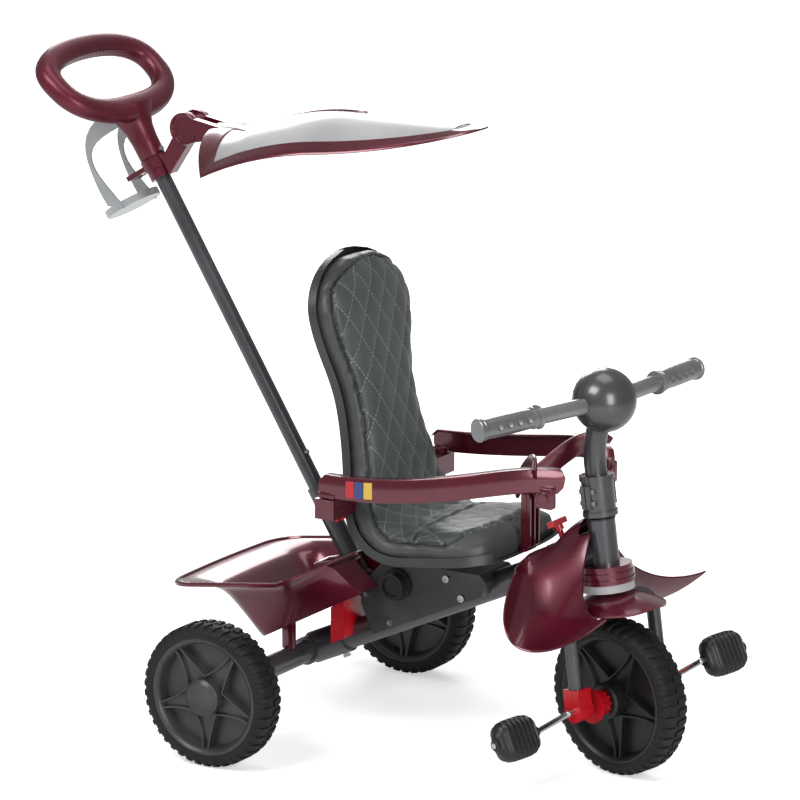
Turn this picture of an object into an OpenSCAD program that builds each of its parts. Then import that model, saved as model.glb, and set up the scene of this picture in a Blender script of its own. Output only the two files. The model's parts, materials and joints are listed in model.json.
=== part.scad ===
// Children's tricycle with a push handle, canopy, reclining seat and rear basket.
// Millimetres. +X points forward, +Y to the rider's left, +Z up. The wheels stand on z = 0.

/* [Wheels] */
// Distance from the rear axle to the front axle
wheelbase = 490; // [460:5:540]
// Distance between the middles of the two rear wheels
track = 516; // [480:4:600]
// Outside diameter of a rear wheel
rear_wheel_d = 200; // [190:5:220]
// Width of a rear tyre
rear_tyre_w = 50; // [44:1:54]
// Outside diameter of the front wheel
front_wheel_d = 214; // [200:2:220]
// Width of the front tyre
front_tyre_w = 48; // [44:1:52]
// Thickness of the rubber from the rim to the tread
tyre_wall = 18; // [14:1:22]
// Diameter of the steel axle and crank rods
axle_d = 12; // [10:1:14]
// Number of spokes in each wheel
spoke_count = 5; // [3:1:8]

/* [Frame] */
// Outside diameter of the main tube and head tube
main_d = 38.1; // [34:0.1:44]
// Outside diameter of the rear cross beam
beam_d = 31.75; // [28:0.25:34]
// Wall of the steel tubes
tube_wall = 1.5; // [1:0.1:2.5]
// Climb of the main tube in degrees
main_climb = 24.5; // [22:0.5:26]
// Backward lean of the steering axis in degrees
rake = 7.5; // [4:0.5:10]

/* [Steering] */
// Angle that the front wheel is turned at rest, in degrees
steer_rest = -14; // [-20:1:20]
// Height of the handlebar ball up the steering axis from the front axle
bar_h = 410; // [395:5:440]
// Half of the handlebar's width
bar_half = 212; // [200:2:240]
// Diameter of the handlebar tube
bar_d = 22.2; // [20:0.1:24]
// Backward sweep of each side of the handlebar in degrees
bar_sweep = 10; // [0:1:14]
// Diameter of the ball at the middle of the handlebar
ball_d = 87; // [80:1:94]
// Length of a grip
grip_len = 100; // [90:1:110]
// Diameter of the steerer tube inside the head tube
steerer_d = 25.4; // [22:0.1:28]
// Diameter of the bent stem tube
stem_d = 30; // [29:0.1:32]
// Diameter of each fork leg
fork_d = 19.05; // [16:0.05:22]
// Distance from the middle of the wheel to each fork leg
fork_half = 82; // [78:1:90]
// Length of a crank arm
crank_arm = 66; // [55:1:75]
// Angle of the right crank arm at rest, from forward towards up
crank_rest = 206; // [0:1:360]
// Angle of each pedal about its pin at rest
pedal_rest = 72; // [0:1:360]

/* [Seat] */
// Half of the seat pan's width
pan_half = 125; // [115:1:128]
// Half of the backrest's width at its waist
waist_half = 84; // [75:1:95]
// Half of the head rest's width
head_half = 110; // [100:1:120]
// Thickness of shell and pad together
seat_thick = 56; // [50:1:62]
// Backward lean of the backrest in degrees
seat_lean = 12; // [8:1:15]
// Wall of the moulded seat shell
shell_wall = 3.5; // [3:0.5:5]
// Distance from the middle of the seat to each armrest
arm_half = 150; // [147:1:156]
// Height of the armrest band
arm_tall = 33; // [28:1:38]

/* [Push handle] */
// Diameter of the push rod
rod_d = 22.2; // [20:0.1:24]
// Length of the push rod from its foot to its collar
rod_len = 652; // [600:2:700]
// Backward lean of the push rod in degrees
rod_lean = 31.5; // [28:0.5:34]
// Half width of the ring handle, across the tricycle
ring_half_w = 138; // [120:1:150]
// Half length of the ring handle, along its own slope
ring_half_l = 78; // [70:1:90]
// Thickness of the ring handle's grip
ring_thick = 34; // [28:1:38]
// Inside diameter of the cup holder
cup_d = 76; // [70:1:82]

/* [Canopy] */
// Length of the canopy sheet
canopy_len = 372; // [340:2:400]
// Half of the canopy's greatest width
canopy_half = 132; // [120:1:150]
// How far the canopy's sides hang below its middle
canopy_droop = 46; // [40:1:70]
// Width of the coloured border
canopy_border = 22; // [16:1:30]
// Thickness of the canopy sheet
canopy_sheet = 2.4; // [2:0.1:4]

/* [Basket] */
// Half of the basket's width at its rim
basket_half = 150; // [130:1:155]
// Half of the basket's width at its floor
basket_floor_half = 96; // [86:1:110]
// Wall of the basket
basket_wall = 2.6; // [2:0.1:4]

/* [Hidden] */

$fn = 48;
fit = 0.05;         // radial clearance of a running fit
seat_gap = 0.3;     // gap between pieces that rest on each other
bolt_d = 5;         // housing and clamp bolts
bolt_gap = 0.15;    // radial clearance round a bolt

MAROON = "#651a30";
STEEL_GREY = "#4b4a50";
CHARCOAL = "#46474a";
BLACK = "#17181a";
RED = "#c81f2b";
SILVER = "#b9bbbd";
PALE = "#d9dadc";
SILVER_GREY = "#77777a";
PAD_GREY = "#4a5050";

rear_r = rear_wheel_d / 2;
front_r = front_wheel_d / 2;
tread_half = 15;    // half width of the flat running band of each tyre

// The turned, raked front wheel leans a little, so its axle sits where its lowest edge meets the floor.
wheel_lean = sin(abs(steer_rest)) * sin(rake);
front_z = front_r * sqrt(1 - wheel_lean * wheel_lean) + tread_half * wheel_lean;

// Push rod, ring handle and canopy places
rod_foot = [86, 0, 201];
ring_tilt = 40;                                    // slope of the ring handle's plane
ring_rise = 145;                                   // from the collar to the ring's middle, along the rod
ring_set = 9;                                      // and behind it
rod_dir = [-sin(rod_lean), 0, cos(rod_lean)];
rod_fwd = [cos(rod_lean), 0, sin(rod_lean)];
rod_top = rod_foot + rod_len * rod_dir;
ring_mid = rod_top + ring_rise * rod_dir - ring_set * rod_fwd;
canopy_hinge = rod_top + [56, 0, 64];

// Blocks at the fork's ends, the crank arms outside them and the pedals on the crank's pins
end_y = [fork_half - 13, fork_half + 11];
crank_y = end_y[1] + 8;
pedal_len = 76;
pedal_wide = 58;
pedal_thick = 34;
pedal_from = crank_y + 8;

// Left pedal's foremost rib corner, from the front axle as the wheel points, and a turn into the frame
rib_end = [pedal_wide / 2 - 10, pedal_thick / 2];
pedal_corner = [rib_end * [cos(pedal_rest), sin(pedal_rest)] - crank_arm * cos(crank_rest),
    pedal_from + pedal_len / 2 + 30, rib_end * [-sin(pedal_rest), cos(pedal_rest)] - crank_arm * sin(crank_rest)];
function turned(p) = let (x = p[0] * cos(steer_rest) - p[1] * sin(steer_rest))
    [x * cos(rake) - p[2] * sin(rake), p[0] * sin(steer_rest) + p[1] * cos(steer_rest),
     x * sin(rake) + p[2] * cos(rake)];

// Whole-model extents, which place the origin in the middle of the footprint
rear_most = ring_mid[0] - (ring_half_l - ring_thick / 2) * cos(ring_tilt)
    - ring_thick / 2 * norm([cos(ring_tilt), 0.86 * sin(ring_tilt)]);
wheel_front = front_r * cos(steer_rest) + tread_half * sin(abs(steer_rest));
front_most = wheelbase + max(wheel_front, turned(pedal_corner)[0]);
mid_x = (rear_most + front_most) / 2;

module in_frame() translate([-mid_x, 0, 0]) children();
module both_sides() { children(); mirror([0, 1, 0]) children(); }

// A round bar between two points
module bar(a, b, d) {
    v = b - a;
    translate(a)
        rotate([0, acos(v[2] / norm(v)), atan2(v[1], v[0])])
            cylinder(d = d, h = norm(v));
}
// A round bar across the tricycle, from y0 to y1
module cross_bar(x, z, y0, y1, d)
    translate([x, y0, z]) rotate([-90, 0, 0]) cylinder(d = d, h = y1 - y0);
// A plate across the tricycle with an outline in x and z
module cross_plate(outline, y0, y1)
    translate([0, y1, 0]) rotate([90, 0, 0]) linear_extrude(y1 - y0) polygon(outline);

// Bezier point of any order
function bez(p, t) = len(p) == 1 ? p[0]
    : bez([for (i = [0 : len(p) - 2]) p[i] * (1 - t) + p[i + 1] * t], t);
function unit(v) = v / norm(v);
function flat(l) = [for (a = l) for (b = a) b];
function ease(a, b, t) = a + (b - a) * (1 - cos(180 * max(0, min(1, t)))) / 2;

// A solid skinned over rings of points, open with flat ends or closed into a loop.
// Its faces are turned outwards whichever way round the rings run.
function skin_faces(n, m, closed) = concat(
    flat([for (i = [0 : closed ? n - 1 : n - 2]) for (j = [0 : m - 1])
        let (a = i * m + j, b = i * m + (j + 1) % m,
             c = ((i + 1) % n) * m + (j + 1) % m, d = ((i + 1) % n) * m + j)
        [[a, b, c], [a, c, d]]]),
    closed ? [] : flat([for (j = [1 : m - 2])
        [[0, j + 1, j], [(n - 1) * m, (n - 1) * m + j, (n - 1) * m + j + 1]]]));
function sum(l, i = 0) = i >= len(l) ? 0 : l[i] + sum(l, i + 1);
function volume6(p, f) = [for (t = f) p[t[0]] * cross(p[t[1]], p[t[2]])] * [for (t = f) 1];
module skin(rings, closed = false) {
    p = flat(rings);
    f = skin_faces(len(rings), len(rings[0]), closed);
    g = volume6(p, f) < 0 ? f : [for (t = f) [t[0], t[2], t[1]]];
    polyhedron(points = p, faces = g, convexity = 6);
}
// A strap of rectangular section along a Bezier curve: tall is its height, thick its thickness
module strap(curve, tall, thick, steps = 14)
    skin([for (i = [0 : steps])
        let (t = i / steps, p = bez(curve, t), e = 0.01,
             d = bez(curve, min(1, t + e)) - bez(curve, max(0, t - e)),
             n = unit([d[1], -d[0], 0]) * thick / 2, u = [0, 0, tall / 2])
        [p - n - u, p + n - u, p + n + u, p - n + u]]);

// ---------------------------------------------------------------- frames of reference
// The steering axis: origin on the front axle, Z up the axis, X forward as the wheel points
module steer_frame() translate([wheelbase, 0, front_z]) rotate([0, -rake, 0]) rotate([0, 0, steer_rest])
    children();
// The same axis without the turn, for pieces on the frame
module head_frame() translate([wheelbase, 0, front_z]) rotate([0, -rake, 0]) children();
// The main tube: origin on the rear axle, Z up the tube
module main_frame() translate([0, 0, rear_r]) rotate([0, 90 - main_climb, 0]) children();
// The push rod: origin at its foot, Z up the rod, X forward
module rod_frame() translate(rod_foot) rotate([0, -rod_lean, 0]) children();

// Heights up the steering axis
crown_h = 129;       // middle of the fork's cross bar
fender_h = 146;
ring_h = 149;        // steering lock ring
ring_tall = 11;
collar_h = ring_h + ring_tall + seat_gap;
collar_tall = 24;
head_h = collar_h + collar_tall;
head_tall = 62;
clamp_h = head_h + head_tall + 5;
clamp_tall = 56;
stem_foot_h = clamp_h + 2;
function main_z(x) = rear_r + x * tan(main_climb);

// ---------------------------------------------------------------- frame
main_start = beam_d / 2 + 7;
main_len = (wheelbase - 27) / cos(main_climb);
tee_out_d = main_d + 7;
tee_half = 24;
tee_socket = 62;
beam_end = track / 2 - 32;
// Housing bolts as x and z, the first two through the main tube
housing_bolts = [[150, main_z(150)], [264, main_z(264)], [240, main_z(240) + 35]];
ear_bolt = [112, 204];
tee_bolt_at = 48;

module main_tube() color(STEEL_GREY) in_frame() difference() {
    main_frame() difference() {
        translate([0, 0, main_start]) cylinder(d = main_d, h = main_len - main_start);
        translate([0, 0, main_start - 1]) cylinder(d = main_d - 2 * tube_wall, h = main_len);
        translate([-main_d, 0, tee_bolt_at]) rotate([0, 90, 0])
            cylinder(d = bolt_d + 1 + 2 * bolt_gap, h = 2 * main_d);
    }
    head_frame() translate([0, 0, head_h - 60])
        cylinder(d = main_d + 2 * seat_gap, h = head_tall + 140);
    head_frame() cylinder(d = neck_d + 2 * seat_gap, h = collar_h + collar_tall + seat_gap);
    for (b = [housing_bolts[0], housing_bolts[1]])
        cross_bar(b[0], b[1], -main_d, main_d, bolt_d + 2 * bolt_gap);
}
module rear_beam() color(STEEL_GREY) in_frame() difference() {
    cross_bar(0, rear_r, -beam_end, beam_end, beam_d);
    cross_bar(0, rear_r, -beam_end - 1, beam_end + 1, beam_d - 2 * tube_wall);
}
module tee_collar() color(STEEL_GREY) in_frame() difference() {
    union() {
        cross_bar(0, rear_r, -tee_half, tee_half, beam_d + 8);
        main_frame() cylinder(d = tee_out_d, h = tee_socket);
    }
    cross_bar(0, rear_r, -tee_half - 10, tee_half + 10, beam_d + 2 * fit);
    main_frame() translate([0, 0, main_start - seat_gap])
        cylinder(d = main_d + 2 * fit, h = tee_socket);
    main_frame() translate([-tee_out_d, 0, tee_bolt_at]) rotate([0, 90, 0])
        cylinder(d = bolt_d + 1 + 2 * bolt_gap, h = 2 * tee_out_d);
}
// A through bolt along Z from 0 to reach, with a round head below and a nut above
module through_bolt(d, reach) {
    cylinder(d = d, h = reach + 3);
    translate([0, 0, -3]) difference() {
        cylinder(d = 2 * d, h = 3);
        translate([0, 0, -1]) cylinder(d = d * 1.1, h = 2.5, $fn = 6);
    }
    translate([0, 0, reach]) cylinder(d = 2 * d, h = 4, $fn = 6);
}
module frame_screws() color(SILVER) in_frame() {
    for (b = concat(housing_bolts, [ear_bolt]))
        translate([b[0], -housing_half - seat_gap, b[1]]) rotate([-90, 0, 0])
            through_bolt(bolt_d, 2 * housing_half + 2 * seat_gap);
    main_frame() translate([-tee_out_d / 2 - 1, 0, tee_bolt_at]) rotate([0, 90, 0])
        through_bolt(bolt_d + 1, tee_out_d + 2);
}
module rear_axle() color(SILVER) in_frame() {
    axle_half = track / 2 + 17;
    cross_bar(0, rear_r, -axle_half, axle_half, axle_d);
    for (s = [-1, 1])
        cross_bar(0, rear_r, s > 0 ? axle_half - 2 : -axle_half - 1, s > 0 ? axle_half + 1 : -axle_half + 2,
            axle_d + 6);
}
bush_flange = 2;
module bush(outer, bore, depth, flange_d) difference() {
    union() {
        cylinder(d = outer, h = depth);
        translate([0, 0, -bush_flange]) cylinder(d = flange_d, h = bush_flange);
    }
    translate([0, 0, -bush_flange - 1]) cylinder(d = bore, h = depth + bush_flange + 2);
}
module frame_bushes() color(BLACK) in_frame() {
    tube_in = main_d - 2 * tube_wall - 2 * fit;
    both_sides() translate([0, -beam_end - fit, rear_r]) rotate([-90, 0, 0])
        bush(beam_d - 2 * tube_wall - 2 * fit, axle_d + 2 * fit, 22, beam_d);
    head_frame() translate([0, 0, head_h + head_tall + fit]) mirror([0, 0, 1])
        bush(tube_in, steerer_d + 2 * fit, 14, main_d + 2);
    head_frame() translate([0, 0, head_h + bush_flange + fit])
        bush(tube_in, steerer_d + 2 * fit, 14, tube_in);
}
module head_tube() color(STEEL_GREY) in_frame() head_frame() difference() {
    translate([0, 0, head_h]) cylinder(d = main_d, h = head_tall);
    translate([0, 0, head_h - 1]) cylinder(d = main_d - 2 * tube_wall, h = head_tall + 2);
}

// Housing: two shells bolted on the main tube, carrying the seat pivot and the push rod's foot
housing_half = 40;
housing_wall = 3;
pivot = [163, 0, 226];
pivot_d = 14;
ear_wide = 6;         // half width of the lug under the push rod
housing_top = 257;
housing_outline = [[102, 190], [122, main_z(122) - 8], [296, main_z(296) - 8], [302, housing_top - 10],
    [292, housing_top], [140, housing_top], [104, 216]];
// An outline moved inwards by d
function inset(p, d) = [for (i = [0 : len(p) - 1])
    let (a = p[(i + len(p) - 1) % len(p)], b = p[i], c = p[(i + 1) % len(p)],
         u = unit(b - a), v = unit(c - b), n = unit([-u[1] - v[1], u[0] + v[0]]))
    b + n * d / (n * [-u[1], u[0]])];
bracket_y = 24;       // middle of each seat bracket ear
bracket_t = 5;
module housing_shell() difference() {
    cross_plate(housing_outline, -housing_half, -fit);
    cross_plate(inset(housing_outline, housing_wall), -housing_half + housing_wall, 1);
    main_frame() cylinder(d = main_d + 2 * seat_gap, h = main_len);
    for (b = concat(housing_bolts, [ear_bolt]))
        cross_bar(b[0], b[1], -housing_half - 1, 1, bolt_d + 2 * bolt_gap);
    cross_bar(pivot[0], pivot[2], -housing_half - 1, 1, pivot_d + 2 * fit);
    translate([90, -ear_wide - 1, 150]) cube([24, 20, 75]);
    translate([124, -bracket_y - bracket_t / 2 - 1.5, pivot[2]])
        cube([80, bracket_t + 3, 60]);
}
module housing_right() color(CHARCOAL) in_frame() housing_shell();
module housing_left() color(CHARCOAL) in_frame() mirror([0, 1, 0]) housing_shell();

socket_d = rod_d + 6;
socket_len = 156;
module rod_socket() color(STEEL_GREY) in_frame() difference() {
    union() {
        rod_frame() translate([0, 0, -8]) cylinder(d = socket_d, h = socket_len + 8);
        cross_plate([[78, 196], [112, 190], [124, 196], [124, 212], [112, 220], [86, 226]],
            -ear_wide, ear_wide);
    }
    rod_frame() translate([0, 0, -0.5]) cylinder(d = rod_d + 2 * fit, h = socket_len + 2);
    cross_bar(ear_bolt[0], ear_bolt[1], -ear_wide - 1, ear_wide + 1, bolt_d + 2 * bolt_gap);
}

// Basket: a moulded tub whose floor climbs with the main tube, notched in front for the push rod
basket_rear = [-30, 132];
basket_front = [136, 221];
rim_rear = [-150, 203];
rim_corner = [60, 233];
rim_front = [92, 258];
// The tub is open in front, round the push rod and round the housing: x from, half width
notches = [[14, socket_d / 2 + 7], [98, housing_half + 6]];
module notch_boxes(wall) for (n = notches)
    translate([n[0] - wall, -n[1] - wall, 0]) cube([200, 2 * (n[1] + wall), 400]);
module tub(in, up) hull() {
    h = 1;
    for (e = [[basket_rear, basket_floor_half], [basket_front, basket_floor_half],
              [rim_corner, basket_half], [rim_front, basket_half - 36]])
        translate([e[0][0] + (e[0] == basket_rear ? in : -in), -e[1] + in, e[0][1] + up])
            cube([h, 2 * (e[1] - in), h]);
    translate([rim_rear[0] + 28 + in, 0, rim_rear[1] + up])
        for (s = [-1, 1]) translate([0, s * (basket_half - 40 - in), 0]) cylinder(r = 34, h = h, $fn = 32);
}
module basket() color(MAROON) in_frame() difference() {
    union() {
        tub(0, 0);
        both_sides() translate([-9, -70, rear_r + 8]) cube([18, 10, 44]);
    }
    difference() {
        tub(basket_wall, basket_wall);
        notch_boxes(basket_wall);
    }
    notch_boxes(0);
    cross_bar(0, rear_r, -100, 100, beam_d + 2 * seat_gap);
}
saddle_half = 42;
saddle_x = [54, 76];
function basket_floor(x) = basket_rear[1]
    + (x - basket_rear[0] - 1) * (basket_front[1] - basket_rear[1]) / (basket_front[0] - basket_rear[0]);
module basket_bracket() color(RED) in_frame() difference() {
    cross_plate([[saddle_x[0], main_z(saddle_x[0])], [saddle_x[1], main_z(saddle_x[1])],
        [saddle_x[1], basket_floor(saddle_x[1]) - seat_gap],
        [saddle_x[0], basket_floor(saddle_x[0]) - seat_gap]], -saddle_half, saddle_half);
    main_frame() cylinder(d = main_d + 2 * seat_gap, h = main_len);
    main_frame() cylinder(d = tee_out_d + 2 * seat_gap, h = tee_socket + seat_gap);
}

// Front cover: a saddle clamped on the main tube by the T knob, with a leg shield on each side
cover_from = 356;
cover_to = 438;
cover_half = 27;
cover_up = 52;
knob_x = 412;
shield_wall = 2.6;
// Rows of control points from the saddle out to the lower rim, each from rear to front, right side
shield_rows = [
    [[cover_from + 6, -22, 296], [395, -26, 318], [430, -26, 348], [456, -24, 354]],
    [[366, -60, 290], [376, -66, 266], [430, -66, 262], [452, -56, 266]],
    [[382, -104, 300], [362, -108, 205], [440, -108, 198], [490, -106, 232]],
    [[404, -138, 300], [350, -142, 180], [440, -142, 160], [545, -138, 256]]];
function shield_point(u, v) = bez([for (r = shield_rows) bez(r, v)], u);
function shield_normal(u, v) = let (e = 0.02)
    unit(cross(shield_point(min(1, u + e), v) - shield_point(max(0, u - e), v),
        shield_point(u, min(1, v + e)) - shield_point(u, max(0, v - e))));
module shield() {
    n = 14;
    skin([for (i = [0 : n]) let (v = i / n) concat(
        [for (j = [0 : n]) shield_point(j / n, v)],
        [for (j = [n : -1 : 0]) shield_point(j / n, v) + shield_wall * shield_normal(j / n, v)])]);
}
module front_wings() color(MAROON) in_frame() {
    difference() {
        union() {
            cross_plate([[cover_from, main_z(cover_from) + 6], [cover_to, main_z(cover_to) + 6],
                [cover_to, main_z(cover_to) + cover_up], [cover_to - 14, main_z(cover_to) + cover_up - 3],
                [cover_to - 36, main_z(cover_to) + 10],
                [cover_from + 8, main_z(cover_from) + 30]], -cover_half, cover_half);
            both_sides() shield();
        }
        main_frame() cylinder(d = main_d + 2 * seat_gap, h = main_len + 20);
        head_frame() translate([0, 0, head_h - 40]) cylinder(d = main_d + 8, h = head_tall + 80);
        knob_frame() cylinder(d = 8 + 2 * fit, h = 60);
    }
}
// The T knob's screw: origin on the main tube's skin, Z square to the tube
module knob_frame() translate([knob_x, 0, main_z(knob_x)]) rotate([0, -main_climb, 0])
    translate([0, 0, main_d / 2 + seat_gap]) children();
module wing_knob() color(RED) in_frame() knob_frame() {
    cylinder(d = 8, h = 26);
    translate([0, 0, 23]) cylinder(d = 13, h = 8);
    translate([-6, -17, 30]) cube([12, 34, 8]);
}

neck_d = 76;
module neck_collar() color(MAROON) in_frame() head_frame() difference() {
    union() {
        translate([0, 0, collar_h]) cylinder(d = neck_d - 4, h = collar_tall);
        for (h = [collar_h, collar_h + 9])
            translate([0, 0, h]) cylinder(d = neck_d, h = 6.5);
    }
    translate([0, 0, collar_h - 1]) cylinder(d = steerer_d + 4, h = collar_tall + 2);
}
module lock_ring() color(PALE) in_frame() head_frame() difference() {
    translate([0, 0, ring_h]) cylinder(d = neck_d - 3, h = ring_tall);
    translate([0, 0, ring_h - 1]) cylinder(d = steerer_d + 4, h = ring_tall + 2);
}
module lock_tab() color(RED) in_frame() head_frame()
    rotate([0, 0, -150]) translate([neck_d / 2 - 1.5 + fit, -7, ring_h + 2]) cube([17, 14, 7]);

// ---------------------------------------------------------------- seat
// The seat's rear face runs forward to back along the pan, round a bend and up the backrest.
pan_from = [218, 269];
pan_slope = 7;
pan_len = 126;
bend_r = 100;
back_len = 334;
bend_turn = 90 + pan_slope - seat_lean;
bend_len = bend_r * bend_turn * PI / 180;
seat_len = pan_len + bend_len + back_len;
bend_mid = pan_from + bend_r * [-sin(pan_slope), cos(pan_slope)];
rim_depth = 30;
function dir(a) = [cos(a), sin(a)];
// Heading of the path at distance s from the pan's front, and the point there
function heading(s) = 180 + pan_slope
    - bend_turn * max(0, min(1, (s - pan_len) / bend_len));
function seat_path(s) = s < pan_len ? pan_from + (pan_len - s) * dir(pan_slope)
    : s < pan_len + bend_len ? bend_mid + bend_r * dir(heading(s) + 90)
    : bend_mid + bend_r * dir(heading(s) + 90) + (s - pan_len - bend_len) * dir(heading(s));
head_len = 78;       // length of the head rest's round end
head_at = seat_len - head_len;
waist_at = seat_len - 206;
function seat_half(s) =
    s < 60 ? pan_half * sqrt(1 - 0.5 * pow((60 - s) / 60, 2))
    : s < pan_len + 40 ? pan_half
    : s < waist_at ? ease(pan_half, waist_half, (s - pan_len - 40) / (waist_at - pan_len - 40))
    : s < head_at ? ease(waist_half, head_half, (s - waist_at) / (head_at - waist_at))
    : head_half * sqrt(max(0.02, 1 - pow((s - head_at) / head_len, 2)));
// How far the dish is open at s, from 0 at its ends to 1
function seat_open(s) = sqrt(1 - pow(1 - min(1, min(s + 6, seat_len - s + 4) / 46), 2));
function seat_place(s, y, d) = let (p = seat_path(s) - d * dir(heading(s) + 90)) [p[0], y, p[1]];
function dish(s, k) = rim_depth * (1 - seat_open(s) * (1 - pow(abs(k), 3)));
seat_rows = [for (i = [0 : 34]) seat_len * i / 34];
seat_cols = [for (j = [-8 : 8]) sin(90 * j / 8)];
module seat_shell() color(CHARCOAL) in_frame() {
    skin([for (s = seat_rows) let (w = seat_half(s)) concat(
        [for (k = seat_cols) seat_place(s, k * w, dish(s, k))],
        [for (i = [len(seat_cols) - 1 : -1 : 0]) let (k = seat_cols[i])
            seat_place(s, k * (w - 1.5), dish(s, k) + shell_wall)])]);
}
pad_gap = 0.8;
module seat_pad() color(PAD_GREY) in_frame()
    skin([for (i = [1 : len(seat_rows) - 2]) let (s = seat_rows[i], w = seat_half(s) - 4, o = seat_open(s),
            low = rim_depth + 8, crown = seat_thick - low) concat(
        [for (k = seat_cols) seat_place(s, k * w, dish(s, k) + shell_wall + pad_gap)],
        [for (c = [len(seat_cols) - 1 : -1 : 0]) let (k = seat_cols[c])
            seat_place(s, k * w, low + crown * o * (1 - pow(abs(k), 4)))])]);
// Bracket screwed under the pan, with two ears down to the pivot
module seat_bracket() color(CHARCOAL) in_frame() difference() {
    union() {
        cross_plate([[146, 263], [180, 263], [180, 286], [146, 290]], -34, 34);
        both_sides() cross_plate([[151, 264], [175, 264], [175, 222], [163, 212], [151, 222]],
            -bracket_y - bracket_t / 2, -bracket_y + bracket_t / 2);
    }
    cross_bar(bend_mid[0], bend_mid[1], -60, 60, 2 * (bend_r + seat_gap));
    cross_bar(pivot[0], pivot[2], -60, 60, pivot_d + 2 * fit);
}
module recline_knob() color(BLACK) in_frame() {
    cross_bar(pivot[0], pivot[2], -housing_half - 4, housing_half + 2, pivot_d);
    difference() {
        union() {
            cross_bar(pivot[0], pivot[2], -housing_half - 7, -housing_half - seat_gap, 44);
            cross_bar(pivot[0], pivot[2], -housing_half - 20, -housing_half - 6, 36);
        }
        cross_bar(pivot[0], pivot[2], -housing_half - 21, -housing_half - 15, 29);
    }
    cross_bar(pivot[0], pivot[2], housing_half + seat_gap, housing_half + 4, 24);
}
// Crotch post on the front of the pan
post_x = 341.6;
post_t = 8;
post_half = 14;
module crotch_post() color(MAROON) in_frame() {
    cross_plate([[post_x, 290], [post_x + post_t, 292], [post_x + post_t, 392], [post_x - 12, 400],
        [post_x - 20, 396], [post_x - 12, 380], [post_x, 372]], -post_half, post_half);
    for (y = [-post_half + 2.5, 0, post_half - 2.5])
        cross_plate([[post_x + post_t - 1, 294], [post_x + post_t + 6, 300], [post_x + post_t + 6, 366],
            [post_x + post_t - 1, 380]], y - 1.5, y + 1.5);
}
// Blocks on the sides of the seat that hold the armrests' pins
block_x = 118;
block_z = [338, 366];
block_y = arm_half - 2;
arm_pin_d = 10;
arm_gap = 0.5;
module arm_block() difference() {
    translate([block_x - 15, -arm_half - 9, block_z[0]]) cube([30, arm_half - 66, block_z[1] - block_z[0]]);
    translate([block_x, -block_y, block_z[0] - 1]) cylinder(d = arm_pin_d + 2 * fit, h = 60);
    translate([block_x - 7.5, -block_y + 12, block_z[0] - 1]) cube([15, 22, 8]);
    arm_block_cut();
}
// The seat shell and pad, filled and a little larger, taken out of the block
module arm_block_cut()
    skin([for (i = [8 : 22]) let (s = seat_rows[i], w = seat_half(s) + 1) concat(
        [for (k = seat_cols) seat_place(s, k * w, dish(s, k) - seat_gap - 0.5)],
        [seat_place(s, w, seat_thick + 20), seat_place(s, -w, seat_thick + 20)])]);
module arm_blocks() color(MAROON) in_frame() both_sides() arm_block();
// A release button under each block: origin at its top, sliding up
module release_button() translate([block_x - 7, -block_y + 12.5, block_z[0] - 7]) cube([14, 21, 10]);
module release_button_right() color(RED) in_frame() release_button();
module release_button_left() color(RED) in_frame() mirror([0, 1, 0]) release_button();

// Armrest: band from the block round to its tip, with a strap arching back to the crotch post
arm_z = block_z[1] + arm_gap;
arm_wall = 6;
arm_mid = arm_z + arm_tall / 2;
arm_curve = [[106, -arm_half, arm_mid], [210, -arm_half - 6, arm_mid], [330, -arm_half - 8, arm_mid + 18],
    [386, -arm_half + 34, arm_mid + 46], [438, -66, arm_mid + 30]];
arch_curve = [[412, -98, arm_mid + 42], [398, -70, arm_mid + 68], [372, -52, arm_mid + 38],
    [post_x - 6, -post_half - 3.5, arm_mid - 4]];
latch = [420, -84, arm_mid + 12];
latch_d = 14;
module armrest() difference() {
    union() {
        strap(arm_curve, arm_tall, arm_wall, 18);
        strap(arch_curve, 24, 5, 12);
        translate([block_x, -block_y, block_z[0] + 6]) cylinder(d = arm_pin_d, h = arm_z - block_z[0] - 4);
        translate([block_x - 12, -arm_half - 6, arm_z]) cube([26, 14, 8]);
        translate(latch - [13, 7, 16]) cube([26, 14, 30]);
    }
    translate(latch + [0, -8, -2]) rotate([-90, 0, 0]) cylinder(d = latch_d + 2 * fit, h = 9);
}
module latch_button() translate(latch + [0, -9.5, -2]) rotate([-90, 0, 0]) cylinder(d = latch_d, h = 6);
module armrest_right() color(MAROON) in_frame() armrest();
module armrest_left() color(MAROON) in_frame() mirror([0, 1, 0]) armrest();
module latch_button_right() color(MAROON) in_frame() latch_button();
module latch_button_left() color(MAROON) in_frame() mirror([0, 1, 0]) latch_button();

// ---------------------------------------------------------------- push handle
button_at = socket_len + 48;
collar_len = 28;
module push_rod() color(STEEL_GREY) in_frame() rod_frame() difference() {
    cylinder(d = rod_d, h = rod_len + collar_len);
    translate([0, 0, -1]) cylinder(d = rod_d - 2 * tube_wall, h = rod_len + collar_len + 2);
    translate([0, 0, button_at]) rotate([0, 90, 0]) cylinder(d = 7 + 2 * fit, h = rod_d);
}
module rod_button() color(SILVER) in_frame() rod_frame() translate([rod_d / 2 - 5, 0, button_at])
    rotate([0, 90, 0]) cylinder(d = 7, h = 7.5);
// Collar with a tongue behind it, which carries the cup holder's foot
tongue = 45;
module rod_collar() color(MAROON) in_frame() rod_frame() difference() {
    union() {
        translate([0, 0, rod_len - 14]) cylinder(d = rod_d + 12, h = 16);
        translate([0, 0, rod_len]) cylinder(d = 40, h = 16);
        translate([-tongue, -17, rod_len + 3]) cube([tongue, 34, 7]);
    }
    translate([0, 0, rod_len - 20]) cylinder(d = rod_d + 2 * fit, h = 60);
    translate([-31, 0, rod_len]) cylinder(d = 14, h = 30);
}
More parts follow.
